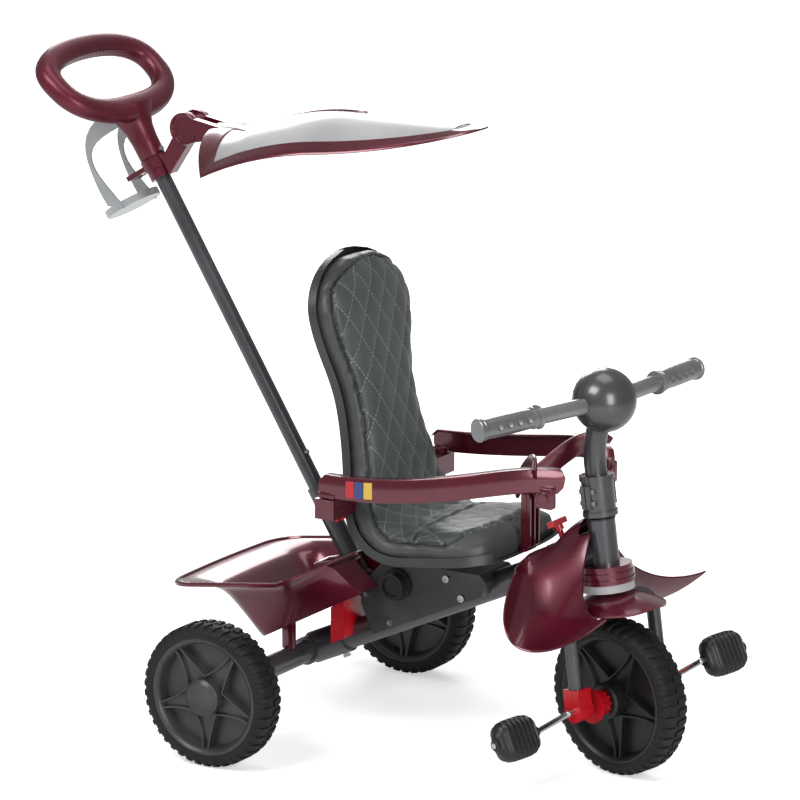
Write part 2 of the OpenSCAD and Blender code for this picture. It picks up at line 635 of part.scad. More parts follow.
// Ring handle: a rounded loop across the tricycle, on a neck that fits over the rod
function loop_point(a, grow) = let (c = cos(a), s = sin(a))
    [(ring_half_l - grow) * sign(c) * pow(abs(c), 0.86), (ring_half_w - grow) * sign(s) * pow(abs(s), 0.92)];
module ring_handle() color(MAROON) in_frame() {
    n = 48;
    m = 14;
    translate(ring_mid) rotate([0, ring_tilt + 180, 0]) mirror([0, 0, 1])
        skin([for (i = [0 : n - 1]) let (a = 360 * i / n, t = ring_thick / 2)
            [for (j = [0 : m - 1]) let (b = 360 * j / m, p = loop_point(a, t - t * cos(b)))
                [p[0], p[1], t * 0.86 * sin(b)]]], true);
    neck();
}
neck_len = 74;
neck_screw_at = rod_len + 22;
module neck() rod_frame() difference() {
    translate([0, 0, rod_len + 16 + seat_gap]) cylinder(d1 = 36, d2 = 40, h = neck_len);
    translate([0, 0, rod_len]) cylinder(d = rod_d + 2 * fit, h = collar_len + seat_gap);
    translate([0, 0, neck_screw_at]) rotate([0, 90, 0]) cylinder(d = bolt_d + 2 * bolt_gap, h = 40);
}
module handle_screw() color(SILVER) in_frame() rod_frame() translate([0, 0, neck_screw_at]) {
    rotate([0, 90, 0]) translate([0, 0, rod_d / 2 + 0.2]) cylinder(d = bolt_d, h = 8);
    rotate([0, 90, 0]) translate([0, 0, 18.6]) cylinder(d = 8.5, h = 2.5);
}
// Cup holder: a dish under the handle, hung on two straps from the ring's front side
cup_low = rod_len - 22;
cup_back = 66;
strap_y = cup_d / 2 + 1.5;
cup_foot = rod_foot + cup_low * rod_dir - cup_back * rod_fwd;
ring_front = ring_mid + (ring_half_l - ring_thick / 2 - 3) * [cos(ring_tilt), 0, -sin(ring_tilt)]
    - (ring_thick * 0.43 + seat_gap) * [sin(ring_tilt), 0, cos(ring_tilt)];
strap_curve = [cup_foot, cup_foot + [-34, 0, 42], ring_front + [-78, 0, -44], ring_front];
module cup_holder() color(SILVER) in_frame() {
    rod_frame() translate([-cup_back, 0, cup_low - 6]) difference() {
        cylinder(d = cup_d + 6, h = 10);
        translate([0, 0, 3]) cylinder(d = cup_d, h = 10);
    }
    both_sides() skin([for (i = [0 : 12]) let (t = i / 12, p = bez(strap_curve, t) - [0, strap_y, 0],
            w = (9 + 5 * cos(360 * t)) * unit((1 - t) * [1, 0, 0] + t * [cos(ring_tilt), 0, -sin(ring_tilt)]),
            h = [0, 1.5, 0]) [p - w - h, p + w - h, p + w + h, p - w + h]]);
}
// Canopy arm: from the collar up to the drum where the canopy tilts
drum_d = 46;
drum_half = 22;
hub_half = 9;
module canopy_arm() color(MAROON) in_frame() difference() {
    union() {
        translate([canopy_hinge[0], 0, canopy_hinge[2]]) rotate([90, 0, 0])
            cylinder(d = drum_d - 12, h = 2 * hub_half, center = true);
        cross_plate([[rod_top[0] - 4, rod_top[2] - 10], [rod_top[0] + 26, rod_top[2] - 4],
            [canopy_hinge[0] + 10, canopy_hinge[2] - 8], [canopy_hinge[0] - 14, canopy_hinge[2] + 4]],
            -hub_half, hub_half);
    }
    rod_frame() translate([0, 0, rod_len - 60]) cylinder(d = 41, h = 76 + 2 * seat_gap);
    rod_frame() translate([0, 0, rod_len + 14]) cylinder(d = 42, h = 200);
    cross_bar(canopy_hinge[0], canopy_hinge[2], -60, 60, 12 + 2 * fit);
}
// Canopy sheet: x from its rear edge, k from -1 to 1 across it
sheet_x0 = canopy_hinge[0] + 102;
sheet_rise = 42;
function sheet_half(t) = canopy_half * pow(1 - pow(t, 2.3), 0.62);
function sheet_top(t) = canopy_hinge[2] + 6 + sheet_rise * (1 - pow(1 - min(1, t / 0.45), 2)) - 4 * t;
function sheet(t, k) = let (w = sheet_half(t))
    [sheet_x0 + canopy_len * t, k * w, sheet_top(t) - canopy_droop * k * k * pow(w / canopy_half, 1.5)];
sheet_end = 0.995;
up = [0, 0, canopy_sheet];
edge_t = canopy_border / canopy_len;
// Outline of the sheet as t and k, run round from the rear right corner; e is the distance in from it
function sheet_loop(e, n = 12) = let (a = e / canopy_len, b = sheet_end - e * 1.6 / canopy_len) concat(
    [for (i = [0 : n]) let (t = a + (b - a) * sin(90 * i / n)) [t, -1 + min(0.8, e / max(8, sheet_half(t)))]],
    [for (i = [n : -1 : 0]) let (t = a + (b - a) * sin(90 * i / n)) [t, 1 - min(0.8, e / max(8, sheet_half(t)))]],
    [for (i = [1 : n - 1]) [a, (1 - e / sheet_half(a)) * (1 - 2 * i / n)]]);
module canopy_rim() color(MAROON) in_frame() {
    outer = sheet_loop(0);
    inner = sheet_loop(canopy_border);
    skin([for (i = [0 : len(outer) - 1]) let (o = outer[i], q = inner[i], m = (o + q) / 2)
        [sheet(o[0], o[1]), sheet(m[0], m[1]), sheet(q[0], q[1]),
         sheet(q[0], q[1]) + up, sheet(m[0], m[1]) + up, sheet(o[0], o[1]) + up]], true);
    // Root plate under the rear edge and the two cheeks of the drum
    both_sides() difference() {
        union() {
            cross_bar(canopy_hinge[0], canopy_hinge[2], -drum_half, -hub_half - seat_gap, drum_d);
            cross_plate([[canopy_hinge[0] + 6, canopy_hinge[2] - 22], [sheet_x0 + 16, sheet_top(0) - 14],
                [sheet_x0 + 16, sheet_top(0) - 2], [canopy_hinge[0] + 6, canopy_hinge[2] + 20]],
                -drum_half + 1, -hub_half - seat_gap);
        }
        cross_bar(canopy_hinge[0], canopy_hinge[2], -60, 60, 12 + 2 * fit);
        cross_bar(canopy_hinge[0], canopy_hinge[2], -60, -drum_half + 5, 34);
    }
}
module canopy_panel() color(PALE) in_frame() {
    a = (canopy_border + 0.4) / canopy_len;
    b = sheet_end - (canopy_border + 0.4) * 1.6 / canopy_len;
    n = 14;
    skin([for (i = [0 : n]) let (t = a + (b - a) * sin(90 * i / n),
            w = 1 - min(0.8, (canopy_border + 0.5) / max(8, sheet_half(t)))) concat(
        [for (j = [0 : 12]) sheet(t, w * (j / 6 - 1)) + 0.1 * up],
        [for (j = [12 : -1 : 0]) sheet(t, w * (j / 6 - 1)) + 0.9 * up])]);
}
module canopy_knob() color(MAROON) in_frame() {
    cross_bar(canopy_hinge[0], canopy_hinge[2], -drum_half + 1, drum_half + 1, 12);
    cross_bar(canopy_hinge[0], canopy_hinge[2], -drum_half + 5 - 3, -drum_half + 5 - seat_gap, 30);
    cross_bar(canopy_hinge[0], canopy_hinge[2], drum_half + seat_gap, drum_half + 3, 18);
}

// ---------------------------------------------------------------- steering
bend_h = 318;
stem_bend_r = 120;
stem_bend = 25;
ball_x = 30;
module steerer() color(STEEL_GREY) in_frame() steer_frame() difference() {
    translate([0, 0, crown_h - 8]) cylinder(d = steerer_d, h = clamp_h + clamp_tall - crown_h);
    translate([0, 0, crown_h - 9]) cylinder(d = steerer_d - 5, h = clamp_h + clamp_tall);
}
// The bent stem: straight, an arc forward, and straight up into the ball
module stem_shape(d, extra) {
    translate([0, 0, stem_foot_h - extra]) cylinder(d = d, h = bend_h - stem_foot_h + extra);
    translate([stem_bend_r, 0, bend_h]) rotate([90, 0, 0]) rotate([0, 0, 180 - stem_bend])
        rotate_extrude(angle = stem_bend) translate([stem_bend_r, 0]) circle(d = d + 0.4);
    translate([stem_bend_r * (1 - cos(stem_bend)), 0, bend_h + stem_bend_r * sin(stem_bend)])
        rotate([0, stem_bend, 0]) translate([0, 0, -1]) cylinder(d = d, h = 40);
}
module bar_stem() color(STEEL_GREY) in_frame() steer_frame() difference() {
    stem_shape(stem_d, 0);
    translate([0, 0, stem_foot_h - 1])
        cylinder(d = steerer_d + 2 * fit, h = clamp_h + clamp_tall - stem_foot_h - 6);
    cross_bar(ball_x, bar_h, -bar_mid, bar_mid, bar_d + 2 * seat_gap);
}
clamp_d = 44;
module stem_clamp() color(STEEL_GREY) in_frame() steer_frame() difference() {
    union() {
        translate([0, 0, clamp_h]) cylinder(d = clamp_d, h = clamp_tall);
        for (h = [0, clamp_tall - 7])
            translate([0, 0, clamp_h + h]) cylinder(d = clamp_d + 4, h = 7);
        translate([-8, -clamp_d / 2 - 4, clamp_h + 12]) cube([16, clamp_d + 8, 32]);
    }
    translate([0, 0, stem_foot_h - seat_gap]) cylinder(d = stem_d + 2 * fit, h = clamp_tall);
    translate([0, 0, clamp_h - 1]) cylinder(d = steerer_d + 2 * fit, h = 10);
    translate([-1, -clamp_d, clamp_h - 1]) cube([2, clamp_d, clamp_tall + 2]);
    for (h = clamp_bolt_h) translate([0, -clamp_d / 2 + 0.5, clamp_h + h]) rotate([0, 90, 0]) {
        cylinder(d = bolt_d + 2 * bolt_gap, h = 60, center = true);
        for (x = [-28, 8]) translate([0, 0, x]) cylinder(d = 9, h = 20);
    }
}
clamp_bolt_h = [20, 36];
module clamp_bolts() color(SILVER) in_frame() steer_frame() for (h = clamp_bolt_h)
    translate([-8 - seat_gap, -clamp_d / 2 + 0.5, clamp_h + h]) rotate([0, 90, 0]) rotate([0, 0, 90])
        small_bolt();
module small_bolt() {
    cylinder(d = bolt_d, h = 16 + 2 * seat_gap + 3);
    translate([0, 0, -3]) cylinder(d = 8, h = 3);
    translate([0, 0, 16 + 2 * seat_gap]) cylinder(d = 8, h = 3, $fn = 6);
}
// Handlebar: straight through the ball, then swept back on each side
bar_mid = 46;
bar_side = bar_half - bar_mid;
// The right end of the bar: origin where the sweep starts, Z out along the bar
module bar_frame() translate([ball_x, -bar_mid, bar_h]) rotate([90, 0, -bar_sweep]) children();
module handlebar() color(SILVER_GREY) in_frame() steer_frame() difference() {
    union() {
        cross_bar(ball_x, bar_h, -bar_mid, bar_mid, bar_d);
        both_sides() bar_frame() translate([0, 0, -4]) cylinder(d = bar_d, h = bar_side + 4);
    }
    both_sides() bar_frame() translate([0, 0, 6]) cylinder(d = bar_d - 2 * tube_wall, h = bar_side);
}
ball_wall = 3;
module ball_shell(front) steer_frame() difference() {
    translate([ball_x, 0, bar_h]) rotate([0, front ? 90 : -90, 0]) rotate_extrude() intersection() {
        difference() {
            circle(d = ball_d);
            circle(d = ball_d - 2 * ball_wall);
        }
        translate([0, fit]) square(ball_d);
    }
    cross_bar(ball_x, bar_h, -ball_d, ball_d, bar_d + 2 * seat_gap);
    translate([ball_x, 0, bar_h]) rotate([0, 180 + stem_bend, 0]) cylinder(d = stem_d + 2, h = 80);
}
module ball_rear() color(STEEL_GREY) in_frame() ball_shell(false);
module ball_front() color(STEEL_GREY) in_frame() ball_shell(true);
grip_d = 27;
module grip() bar_frame()
    translate([0, 0, bar_side - grip_len + 3]) difference() {
        union() {
            cylinder(d = grip_d, h = grip_len);
            cylinder(d = grip_d + 6, h = 4);
            translate([0, 0, 9]) cylinder(d = grip_d + 3, h = 3);
            translate([0, 0, grip_len - 4]) cylinder(d = grip_d + 8, h = 4);
        }
        translate([0, 0, -1]) cylinder(d = bar_d + 2 * fit, h = grip_len - 1.5);
    }
module grips() color(SILVER_GREY) in_frame() steer_frame() both_sides() grip();

// Fork: two legs bent inwards to a cross bar under the fender
fork_bend = 28;
fork_end_tall = 34;
module fork_side() {
    translate([0, -fork_half, fork_end_tall / 2 - 6])
        cylinder(d = fork_d, h = crown_h - fork_bend - fork_end_tall / 2 + 6);
    translate([0, -fork_half + fork_bend, crown_h - fork_bend]) rotate([90, 0, -90])
        rotate_extrude(angle = 90) translate([fork_bend, 0]) circle(d = fork_d);
    translate([0, -fork_half + fork_bend, crown_h]) rotate([-90, 0, 0])
        cylinder(d = fork_d, h = fork_half - fork_bend);
}
module fork() color(STEEL_GREY) in_frame() steer_frame() difference() {
    union() {
        both_sides() fork_side();
        translate([0, 0, crown_h - 11]) cylinder(d = 40, h = 24);
    }
    translate([0, 0, crown_h - 12]) cylinder(d = steerer_d + 2 * fit, h = 40);
}
// Red blocks that carry the crank at the ends of the fork
module fork_end() difference() {
    union() {
        translate([-14, -end_y[1], -4]) cube([28, end_y[1] - end_y[0], fork_end_tall]);
        translate([0, -end_y[1], 0]) rotate([-90, 0, 0]) cylinder(d = 31, h = end_y[1] - end_y[0]);
    }
    translate([0, -fork_half, fork_end_tall / 2 - 6 - seat_gap]) cylinder(d = fork_d + 2 * fit, h = 60);
    translate([0, -end_y[1] - 1, 0]) rotate([-90, 0, 0]) cylinder(d = crank_d + 2 * fit, h = 40);
}
module fork_ends() color(RED) in_frame() steer_frame() both_sides() fork_end();

// Front fender: a crowned skirt over the fork's cross bar
fender_front = 84;
fender_rear = 52;
fender_half = 66;
function fender_edge(a) = let (c = cos(a), s = sin(a))
    [(c > 0 ? fender_front : fender_rear) * c, fender_half * s];
function fender_at(a, k) = let (e = fender_edge(a), r = steerer_d / 2 + 1, c = [r * cos(a), r * sin(a)],
    p = c + (e - c) * k) [p[0], p[1], fender_h - 15 * k * k - (abs(sin(a)) > 0.5 ? 4 * k : 0)];
module front_fender() color(MAROON) in_frame() steer_frame() difference() {
    skin([for (i = [0 : 35]) let (a = 10 * i) concat(
        [for (k = [0 : 0.2 : 1]) fender_at(a, k)],
        [for (k = [1 : -0.2 : 0]) fender_at(a, k) - [0, 0, 2.4]])], true);
    both_sides() translate([0, 0, crown_h]) rotate([-90, 0, 0]) cylinder(d = fork_d + 1, h = fender_half + 20);
    translate([0, 0, crown_h - 20]) cylinder(d = 40.6, h = 20 + 13.3);
}

// ---------------------------------------------------------------- wheels
// Tyre section: a flat running band, rounded shoulders and straight sides down to the rim
module tyre(r, w) rotate([90, 0, 0]) rotate_extrude($fn = 96) polygon([
    [r - tyre_wall, -w / 2 + 1], [r - 9, -w / 2], [r - 3.5, -w / 2 + 3], [r, -tread_half], [r, -2.5],
    [r - 2, -1.5], [r - 2, 1.5], [r, 2.5], [r, tread_half], [r - 3.5, w / 2 - 3], [r - 9, w / 2],
    [r - tyre_wall, w / 2 - 1]]);
// Rim: a felloe, a web with spokes and a hub with a bore
module rim(r, w, hub_d, bore, hub_half) rotate([90, 0, 0]) difference() {
    union() {
        rotate_extrude($fn = 96) polygon([[r - 13, -w / 2 + 4], [r, -w / 2 + 2], [r, w / 2 - 2],
            [r - 13, w / 2 - 4]]);
        cylinder(r = r - 6, h = 4, center = true, $fn = 96);
        cylinder(d = hub_d, h = 2 * hub_half, center = true);
        for (i = [0 : spoke_count - 1]) rotate([0, 0, 360 * i / spoke_count + 18])
            translate([hub_d / 2 - 3, -4, -w / 2 + 7]) cube([r - 9 - hub_d / 2, 8, w - 14]);
    }
    translate([0, 0, -hub_half - 1]) cylinder(d = bore, h = 2 * hub_half + 2);
}
rim_gap = 0.1;
hub_cap_d = 52;
module rear_tyre() translate([0, -track / 2, rear_r]) tyre(rear_r, rear_tyre_w);
module rear_rim() translate([0, -track / 2, rear_r]) difference() {
    rim(rear_r - tyre_wall - rim_gap, rear_tyre_w, hub_cap_d, axle_d + 2 * fit, 28);
    translate([0, -12, 0]) rotate([90, 0, 0]) cylinder(d = axle_d + 12, h = 40);
}
// The hub cap closes the outer end of the hub over the axle's head
module rear_cap() translate([0, -track / 2 - 28 - fit, rear_r]) rotate([90, 0, 0])
    cylinder(d = hub_cap_d, h = 3);
module rear_tyre_right() color(BLACK) in_frame() rear_tyre();
module rear_rim_right() color(CHARCOAL) in_frame() { rear_rim(); rear_cap(); }
module rear_tyre_left() color(BLACK) in_frame() mirror([0, 1, 0]) rear_tyre();
module rear_rim_left() color(CHARCOAL) in_frame() mirror([0, 1, 0]) { rear_rim(); rear_cap(); }
module front_tyre() color(BLACK) in_frame() steer_frame() tyre(front_r, front_tyre_w);
crank_d = 8;
front_hub_half = 34;
module front_rim() color(BLACK) in_frame() steer_frame()
    rim(front_r - tyre_wall - rim_gap, front_tyre_w, 50, crank_d + 2 * fit, front_hub_half);

// Crank: one bent rod through the hub, with a pedal pin at each end
pin_to = crank_y + 88;
function crank_end(s) = s * crank_arm * [cos(crank_rest), sin(crank_rest)];
module crank() color(SILVER) in_frame() steer_frame() {
    translate([0, -crank_y, 0]) rotate([-90, 0, 0]) cylinder(d = crank_d, h = 2 * crank_y);
    for (s = [1, -1]) {
        e = crank_end(s);
        bar([0, -s * crank_y, 0], [e[0], -s * crank_y, e[1]], crank_d);
        bar([e[0], -s * crank_y, e[1]], [e[0], -s * pin_to, e[1]], crank_d);
        translate([0, -s * crank_y, 0]) sphere(d = crank_d + 0.8);
        translate([e[0], -s * crank_y, e[1]]) sphere(d = crank_d + 0.8);
    }
}
// Splined knob that slides along the crank to free or drive the wheel
knob_to = front_hub_half + 24;
module clutch_knob() color(RED) in_frame() steer_frame() rotate([90, 0, 0]) difference() {
    union() {
        translate([0, 0, front_hub_half + 0.6]) cylinder(d = 28, h = knob_to - front_hub_half - 2);
        for (i = [0 : 11]) rotate([0, 0, 30 * i])
            translate([12, -2, front_hub_half + 0.6]) cube([5, 4, knob_to - front_hub_half - 2]);
        translate([0, 0, knob_to - 2]) cylinder(d = 48, h = 3);
    }
    cylinder(d = crank_d + 2 * fit, h = 100);
}
// Pedal: a rounded block with cross ribs, turned about its own pin
module pedal(s) {
    e = crank_end(s);
    steer_frame() translate([e[0], -s * (pedal_from + pedal_len / 2), e[1]]) rotate([0, pedal_rest, 0])
        difference() {
            union() {
                hull() for (y = [-1, 1]) for (x = [-1, 1])
                    translate([x * (pedal_wide / 2 - 15), y * (pedal_len / 2 - 11), 0])
                        scale([15, 11, 11] / 15) sphere(r = 15, $fn = 24);
                for (i = [-2 : 2]) translate([-pedal_wide / 2 + 10, 14 * i - 2, -pedal_thick / 2])
                    cube([pedal_wide - 20, 4, pedal_thick]);
            }
            translate([0, -60, 0]) rotate([-90, 0, 0]) cylinder(d = crank_d + 2 * fit, h = 120);
        }
}
module pedal_right() color(BLACK) in_frame() pedal(1);
module pedal_left() color(BLACK) in_frame() pedal(-1);

main_tube();
rear_beam();
tee_collar();
frame_screws();
rear_axle();
frame_bushes();
head_tube();
housing_right();
housing_left();
rod_socket();
basket();
basket_bracket();
front_wings();
neck_collar();
lock_ring();
lock_tab();
wing_knob();
seat_shell();
seat_pad();
seat_bracket();
crotch_post();
arm_blocks();
recline_knob();
armrest_right();
armrest_left();
release_button_right();
release_button_left();
latch_button_right();
latch_button_left();
push_rod();
rod_collar();
ring_handle();
handle_screw();
cup_holder();
canopy_arm();
rod_button();
canopy_rim();
canopy_panel();
canopy_knob();
steerer();
stem_clamp();
clamp_bolts();
bar_stem();
ball_rear();
ball_front();
handlebar();
grips();
fork();
front_fender();
fork_ends();
front_tyre();
front_rim();
crank();
clutch_knob();
pedal_right();
pedal_left();
rear_tyre_right();
rear_rim_right();
rear_tyre_left();
rear_rim_left();
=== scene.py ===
# %% [markdown]
# # A children's tricycle
# The tricycle has steel tubes, moulded pearl plastic covers, rubber-look tyres and one padded seat.
# Its mechanical frame is finished already and gives every part its place and its body. The tubes,
# bolts and brackets could all be modelled again, but their frame meshes are right, so they only
# get a finish here. Every moulded, turned or padded piece is modelled in this lesson with bmesh.

# %% Start
import math
import json
import bpy
import bmesh
from mathutils import Matrix, Vector


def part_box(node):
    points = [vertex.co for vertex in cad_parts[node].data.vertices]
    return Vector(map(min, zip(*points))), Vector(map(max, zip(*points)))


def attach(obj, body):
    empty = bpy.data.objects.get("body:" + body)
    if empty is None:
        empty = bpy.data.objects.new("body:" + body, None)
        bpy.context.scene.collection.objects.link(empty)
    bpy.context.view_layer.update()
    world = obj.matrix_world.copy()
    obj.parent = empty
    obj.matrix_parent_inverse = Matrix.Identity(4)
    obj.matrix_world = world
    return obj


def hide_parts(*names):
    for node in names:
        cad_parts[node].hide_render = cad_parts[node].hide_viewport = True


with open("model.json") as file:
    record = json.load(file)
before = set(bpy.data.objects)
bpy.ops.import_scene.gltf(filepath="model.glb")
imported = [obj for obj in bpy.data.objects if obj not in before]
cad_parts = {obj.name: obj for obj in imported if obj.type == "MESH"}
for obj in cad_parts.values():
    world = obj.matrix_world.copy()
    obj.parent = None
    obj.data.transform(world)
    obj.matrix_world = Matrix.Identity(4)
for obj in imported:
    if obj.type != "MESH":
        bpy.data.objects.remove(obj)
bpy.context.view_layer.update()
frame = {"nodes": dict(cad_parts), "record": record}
MM = 0.001
print("nodes in the frame:", len(frame["nodes"]))

# %% [markdown]
# ## Places
# The sizes are in millimetres from the floor under the middle of the rear axle, because that is
# how the tubes of a tricycle are measured. One matrix, `ROW`, turns them into the frame's metres,
# and further matrices stand for the raked and steered fork and for the leaning push rod.

# %% Places
lo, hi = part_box("rear_axle")
AXLE_X = (lo[0] + hi[0]) / 2


def at(x, y, z):
    """A point given in millimetres from the floor under the rear axle."""
    return Vector((AXLE_X + x * MM, y * MM, z * MM))


def turn(degrees, axis):
    """A turn about one axis as a matrix."""
    return Matrix.Rotation(math.radians(degrees), 4, axis)


WHEELBASE = 490
TRACK = 516
REAR_R = 100
FRONT_R = 107
RAKE = 7.5
STEER = -14
FORK_TRAIL = 15
lean = math.sin(math.radians(abs(STEER))) * math.sin(math.radians(RAKE))
FRONT_Z = FRONT_R * math.sqrt(1 - lean * lean) + FORK_TRAIL * lean
ROW = Matrix.Translation((AXLE_X, 0, 0)) @ Matrix.Scale(MM, 4)
HEAD = ROW @ Matrix.Translation((WHEELBASE, 0, FRONT_Z)) @ turn(-RAKE, "Y")
STEERING = HEAD @ turn(STEER, "Z")
ROD_FOOT = Vector((86, 0, 201))
ROD_LEAN = 31.5
ROD_LEN = 652
ROD_DIR = Vector((-math.sin(math.radians(ROD_LEAN)), 0, math.cos(math.radians(ROD_LEAN))))
ROD_FWD = Vector((ROD_DIR.z, 0, -ROD_DIR.x))
ROD_TOP = ROD_FOOT + ROD_LEN * ROD_DIR
print("rod top at", [round(v) for v in ROD_TOP])

# %% [markdown]
# ## Small tools
# Most of the pieces are skins over a row of sections, turned parts, rounded blocks or bars. A skin
# could be drawn face by face, but `create_grid` already makes the faces, so `loft` only moves the
# grid's points to the sections and welds its seam. `lathe` spins an outline, `block` bevels a
# cube, and `rod` is a cone between two points.

# %% Tools
WELD = 0.0001


def new_piece(name, bm, body, nodes=(), place=ROW, smooth=40):
    """Turns a bmesh in millimetres into a piece that rides on a body."""
    bmesh.ops.transform(bm, matrix=place, verts=bm.verts)
    bmesh.ops.remove_doubles(bm, verts=bm.verts, dist=0.00002)
    bmesh.ops.recalc_face_normals(bm, faces=bm.faces)
    mesh = bpy.data.meshes.new(name)
    bm.to_mesh(mesh)
    bm.free()
    piece = bpy.data.objects.new(name, mesh)
    bpy.context.scene.collection.objects.link(piece)
    mesh.shade_smooth()
    mesh.set_sharp_from_angle(angle=math.radians(smooth))
    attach(piece, body)
    if nodes:
        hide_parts(*nodes)
    return piece


def loft(bm, rows, around=False, along=False, caps=False):
    """A skin over rows of points; around closes each row, along joins the last row to the first."""
    rows = [[*row, row[0]] if around else list(row) for row in rows]
    if along:
        rows.append(rows[0])
    made = bmesh.ops.create_grid(bm, x_segments=len(rows[0]) - 1, y_segments=len(rows) - 1, size=1)["verts"]
    made.sort(key=lambda v: (round(v.co.y, 5), round(v.co.x, 5)))
    for vertex, spot in zip(made, (spot for row in rows for spot in row)):
        vertex.co = spot
    ends = [set(made[:len(rows[0])]), set(made[-len(rows[0]):])]
    bmesh.ops.remove_doubles(bm, verts=made, dist=WELD)
    for end in ends if caps else []:
        edges = {e for v in end if v.is_valid for e in v.link_edges if set(e.verts) <= end}
        bmesh.ops.contextual_create(bm, geom=list(edges))


def lathe(bm, outline, steps=96, place=Matrix.Identity(4)):
    """Spins a closed outline of (radius, offset) pairs about the Y axis."""
    before = set(bm.verts)
    ring = [bm.verts.new((r, y, 0)) for r, y in outline]
    edges = [bm.edges.new((a, b)) for a, b in zip(ring, ring[1:] + ring[:1])]
    bmesh.ops.spin(bm, geom=ring + edges, cent=(0, 0, 0), axis=(0, 1, 0), angle=2 * math.pi, steps=steps,
                   use_merge=True)
    made = [v for v in bm.verts if v not in before]
    bmesh.ops.transform(bm, matrix=place, verts=made)


def block(bm, size, place=Matrix.Identity(4), soft=1.0, segments=2):
    """A box with rounded edges."""
    made = bmesh.ops.create_cube(bm, size=1)["verts"]
    bmesh.ops.transform(bm, matrix=place @ Matrix.Diagonal((*size, 1)), verts=made)
    edges = list({e for v in made for e in v.link_edges})
    bmesh.ops.bevel(bm, geom=edges, offset=soft, segments=segments, profile=0.5, affect="EDGES")


def rod(bm, a, b, r1, r2=None, steps=32, caps=True):
    """A round bar or cone between two points."""
    a, b = Vector(a), Vector(b)
    way = (b - a).to_track_quat("Z", "Y").to_matrix().to_4x4()
    place = Matrix.Translation((a + b) / 2) @ way
    bmesh.ops.create_cone(bm, cap_ends=caps, segments=steps, radius1=r1, radius2=r1 if r2 is None else r2,
                          depth=(b - a).length, matrix=place)


def bezier(points, t):
    """The point at t on a smooth curve pulled by its points."""
    points = [Vector(p) for p in points]
    while len(points) > 1:
        points = [a.lerp(b, t) for a, b in zip(points, points[1:])]
    return points[0]


def rounded_box(width, height, corner, steps=3):
    """A rounded rectangle as (across, up) pairs."""
    out = []
    for sx, sy, first in ((1, 1, 0), (-1, 1, 90), (-1, -1, 180), (1, -1, 270)):
        for k in range(steps + 1):
            a = math.radians(first + 90 * k / steps)
            out.append((sx * (width / 2 - corner) + corner * math.cos(a),
                        sy * (height / 2 - corner) + corner * math.sin(a)))
    return out


print("tools ready")

# %% [markdown]
# ## Finishes
# A toy like this has only a few finishes: pearl ABS, satin grip plastic, powder coated and plated
# steel, black nylon and a rubbery tyre compound. A flat colour would make them look alike, so each
# has a colour that drifts a little, its own gloss, and a fine grain as bump. The grain's size is
# given in millimetres, from 0.4 for polished pearl plastic to 2 for the ripple of drawn steel, and
# the finest ones are drawn a little coarser than they are so that they still show.

# %% Finish tools


def rgb(text):
    """A linear colour from an sRGB hex string."""
    parts = [int(text[i:i + 2], 16) / 255 for i in (0, 2, 4)]
    return (*[c / 12.92 if c <= 0.04045 else ((c + 0.055) / 1.055) ** 2.4 for c in parts], 1)


def add(tree, kind, links=(), **values):
    """One node with its input links and values."""
    node = tree.nodes.new(kind)
    for key, value in values.items():
        if hasattr(node, key):
            setattr(node, key, value)
        else:
            node.inputs[key.replace("_", " ")].default_value = value
    for socket, source in links:
        tree.links.new(source, node.inputs[socket])
    return node


def ramp(tree, source, stops):
    """A colour ramp over a value."""
    node = add(tree, "ShaderNodeValToRGB", [(0, source)])
    while len(node.color_ramp.elements) < len(stops):
        node.color_ramp.elements.new(0.5)
    for element, (spot, colour) in zip(node.color_ramp.elements, stops):
        element.position = spot
        element.color = colour
    return node.outputs[0]


def finish(name, low, high, rough=(0.3, 0.4), metal=0.0, grain=1.11, bump=0.02, coat=0.0, sheen=0.0, drift=14,
           specular=0.5):
    """A finish whose colour drifts between two hex colours, with a bump of grain millimetres."""
    material = bpy.data.materials.new(name)
    material.use_nodes = True
    tree = material.node_tree
    tree.nodes.clear()
    place = add(tree, "ShaderNodeTexCoord").outputs["Object"]
    cloud = add(tree, "ShaderNodeTexNoise", [("Vector", place)], Scale=drift, Detail=3.0)
    colour = ramp(tree, cloud.outputs["Fac"], [(0.35, rgb(low)), (0.65, rgb(high))])
    fine = add(tree, "ShaderNodeTexNoise", [("Vector", place)], Scale=1 / (grain * MM), Detail=2.0)
    gloss = add(tree, "ShaderNodeMapRange", [("Value", cloud.outputs["Fac"])], To_Min=rough[0], To_Max=rough[1])
    relief = add(tree, "ShaderNodeBump", [("Height", fine.outputs["Fac"])], Strength=bump, Distance=0.0006)
    shader = add(tree, "ShaderNodeBsdfPrincipled",
                 [("Base Color", colour), ("Roughness", gloss.outputs[0]), ("Normal", relief.outputs[0])],
                 Metallic=metal, Coat_Weight=coat, Coat_Roughness=0.12, Sheen_Weight=sheen)
    shader.inputs["Specular IOR Level"].default_value = specular
    add(tree, "ShaderNodeOutputMaterial", [("Surface", shader.outputs[0])])
    return material


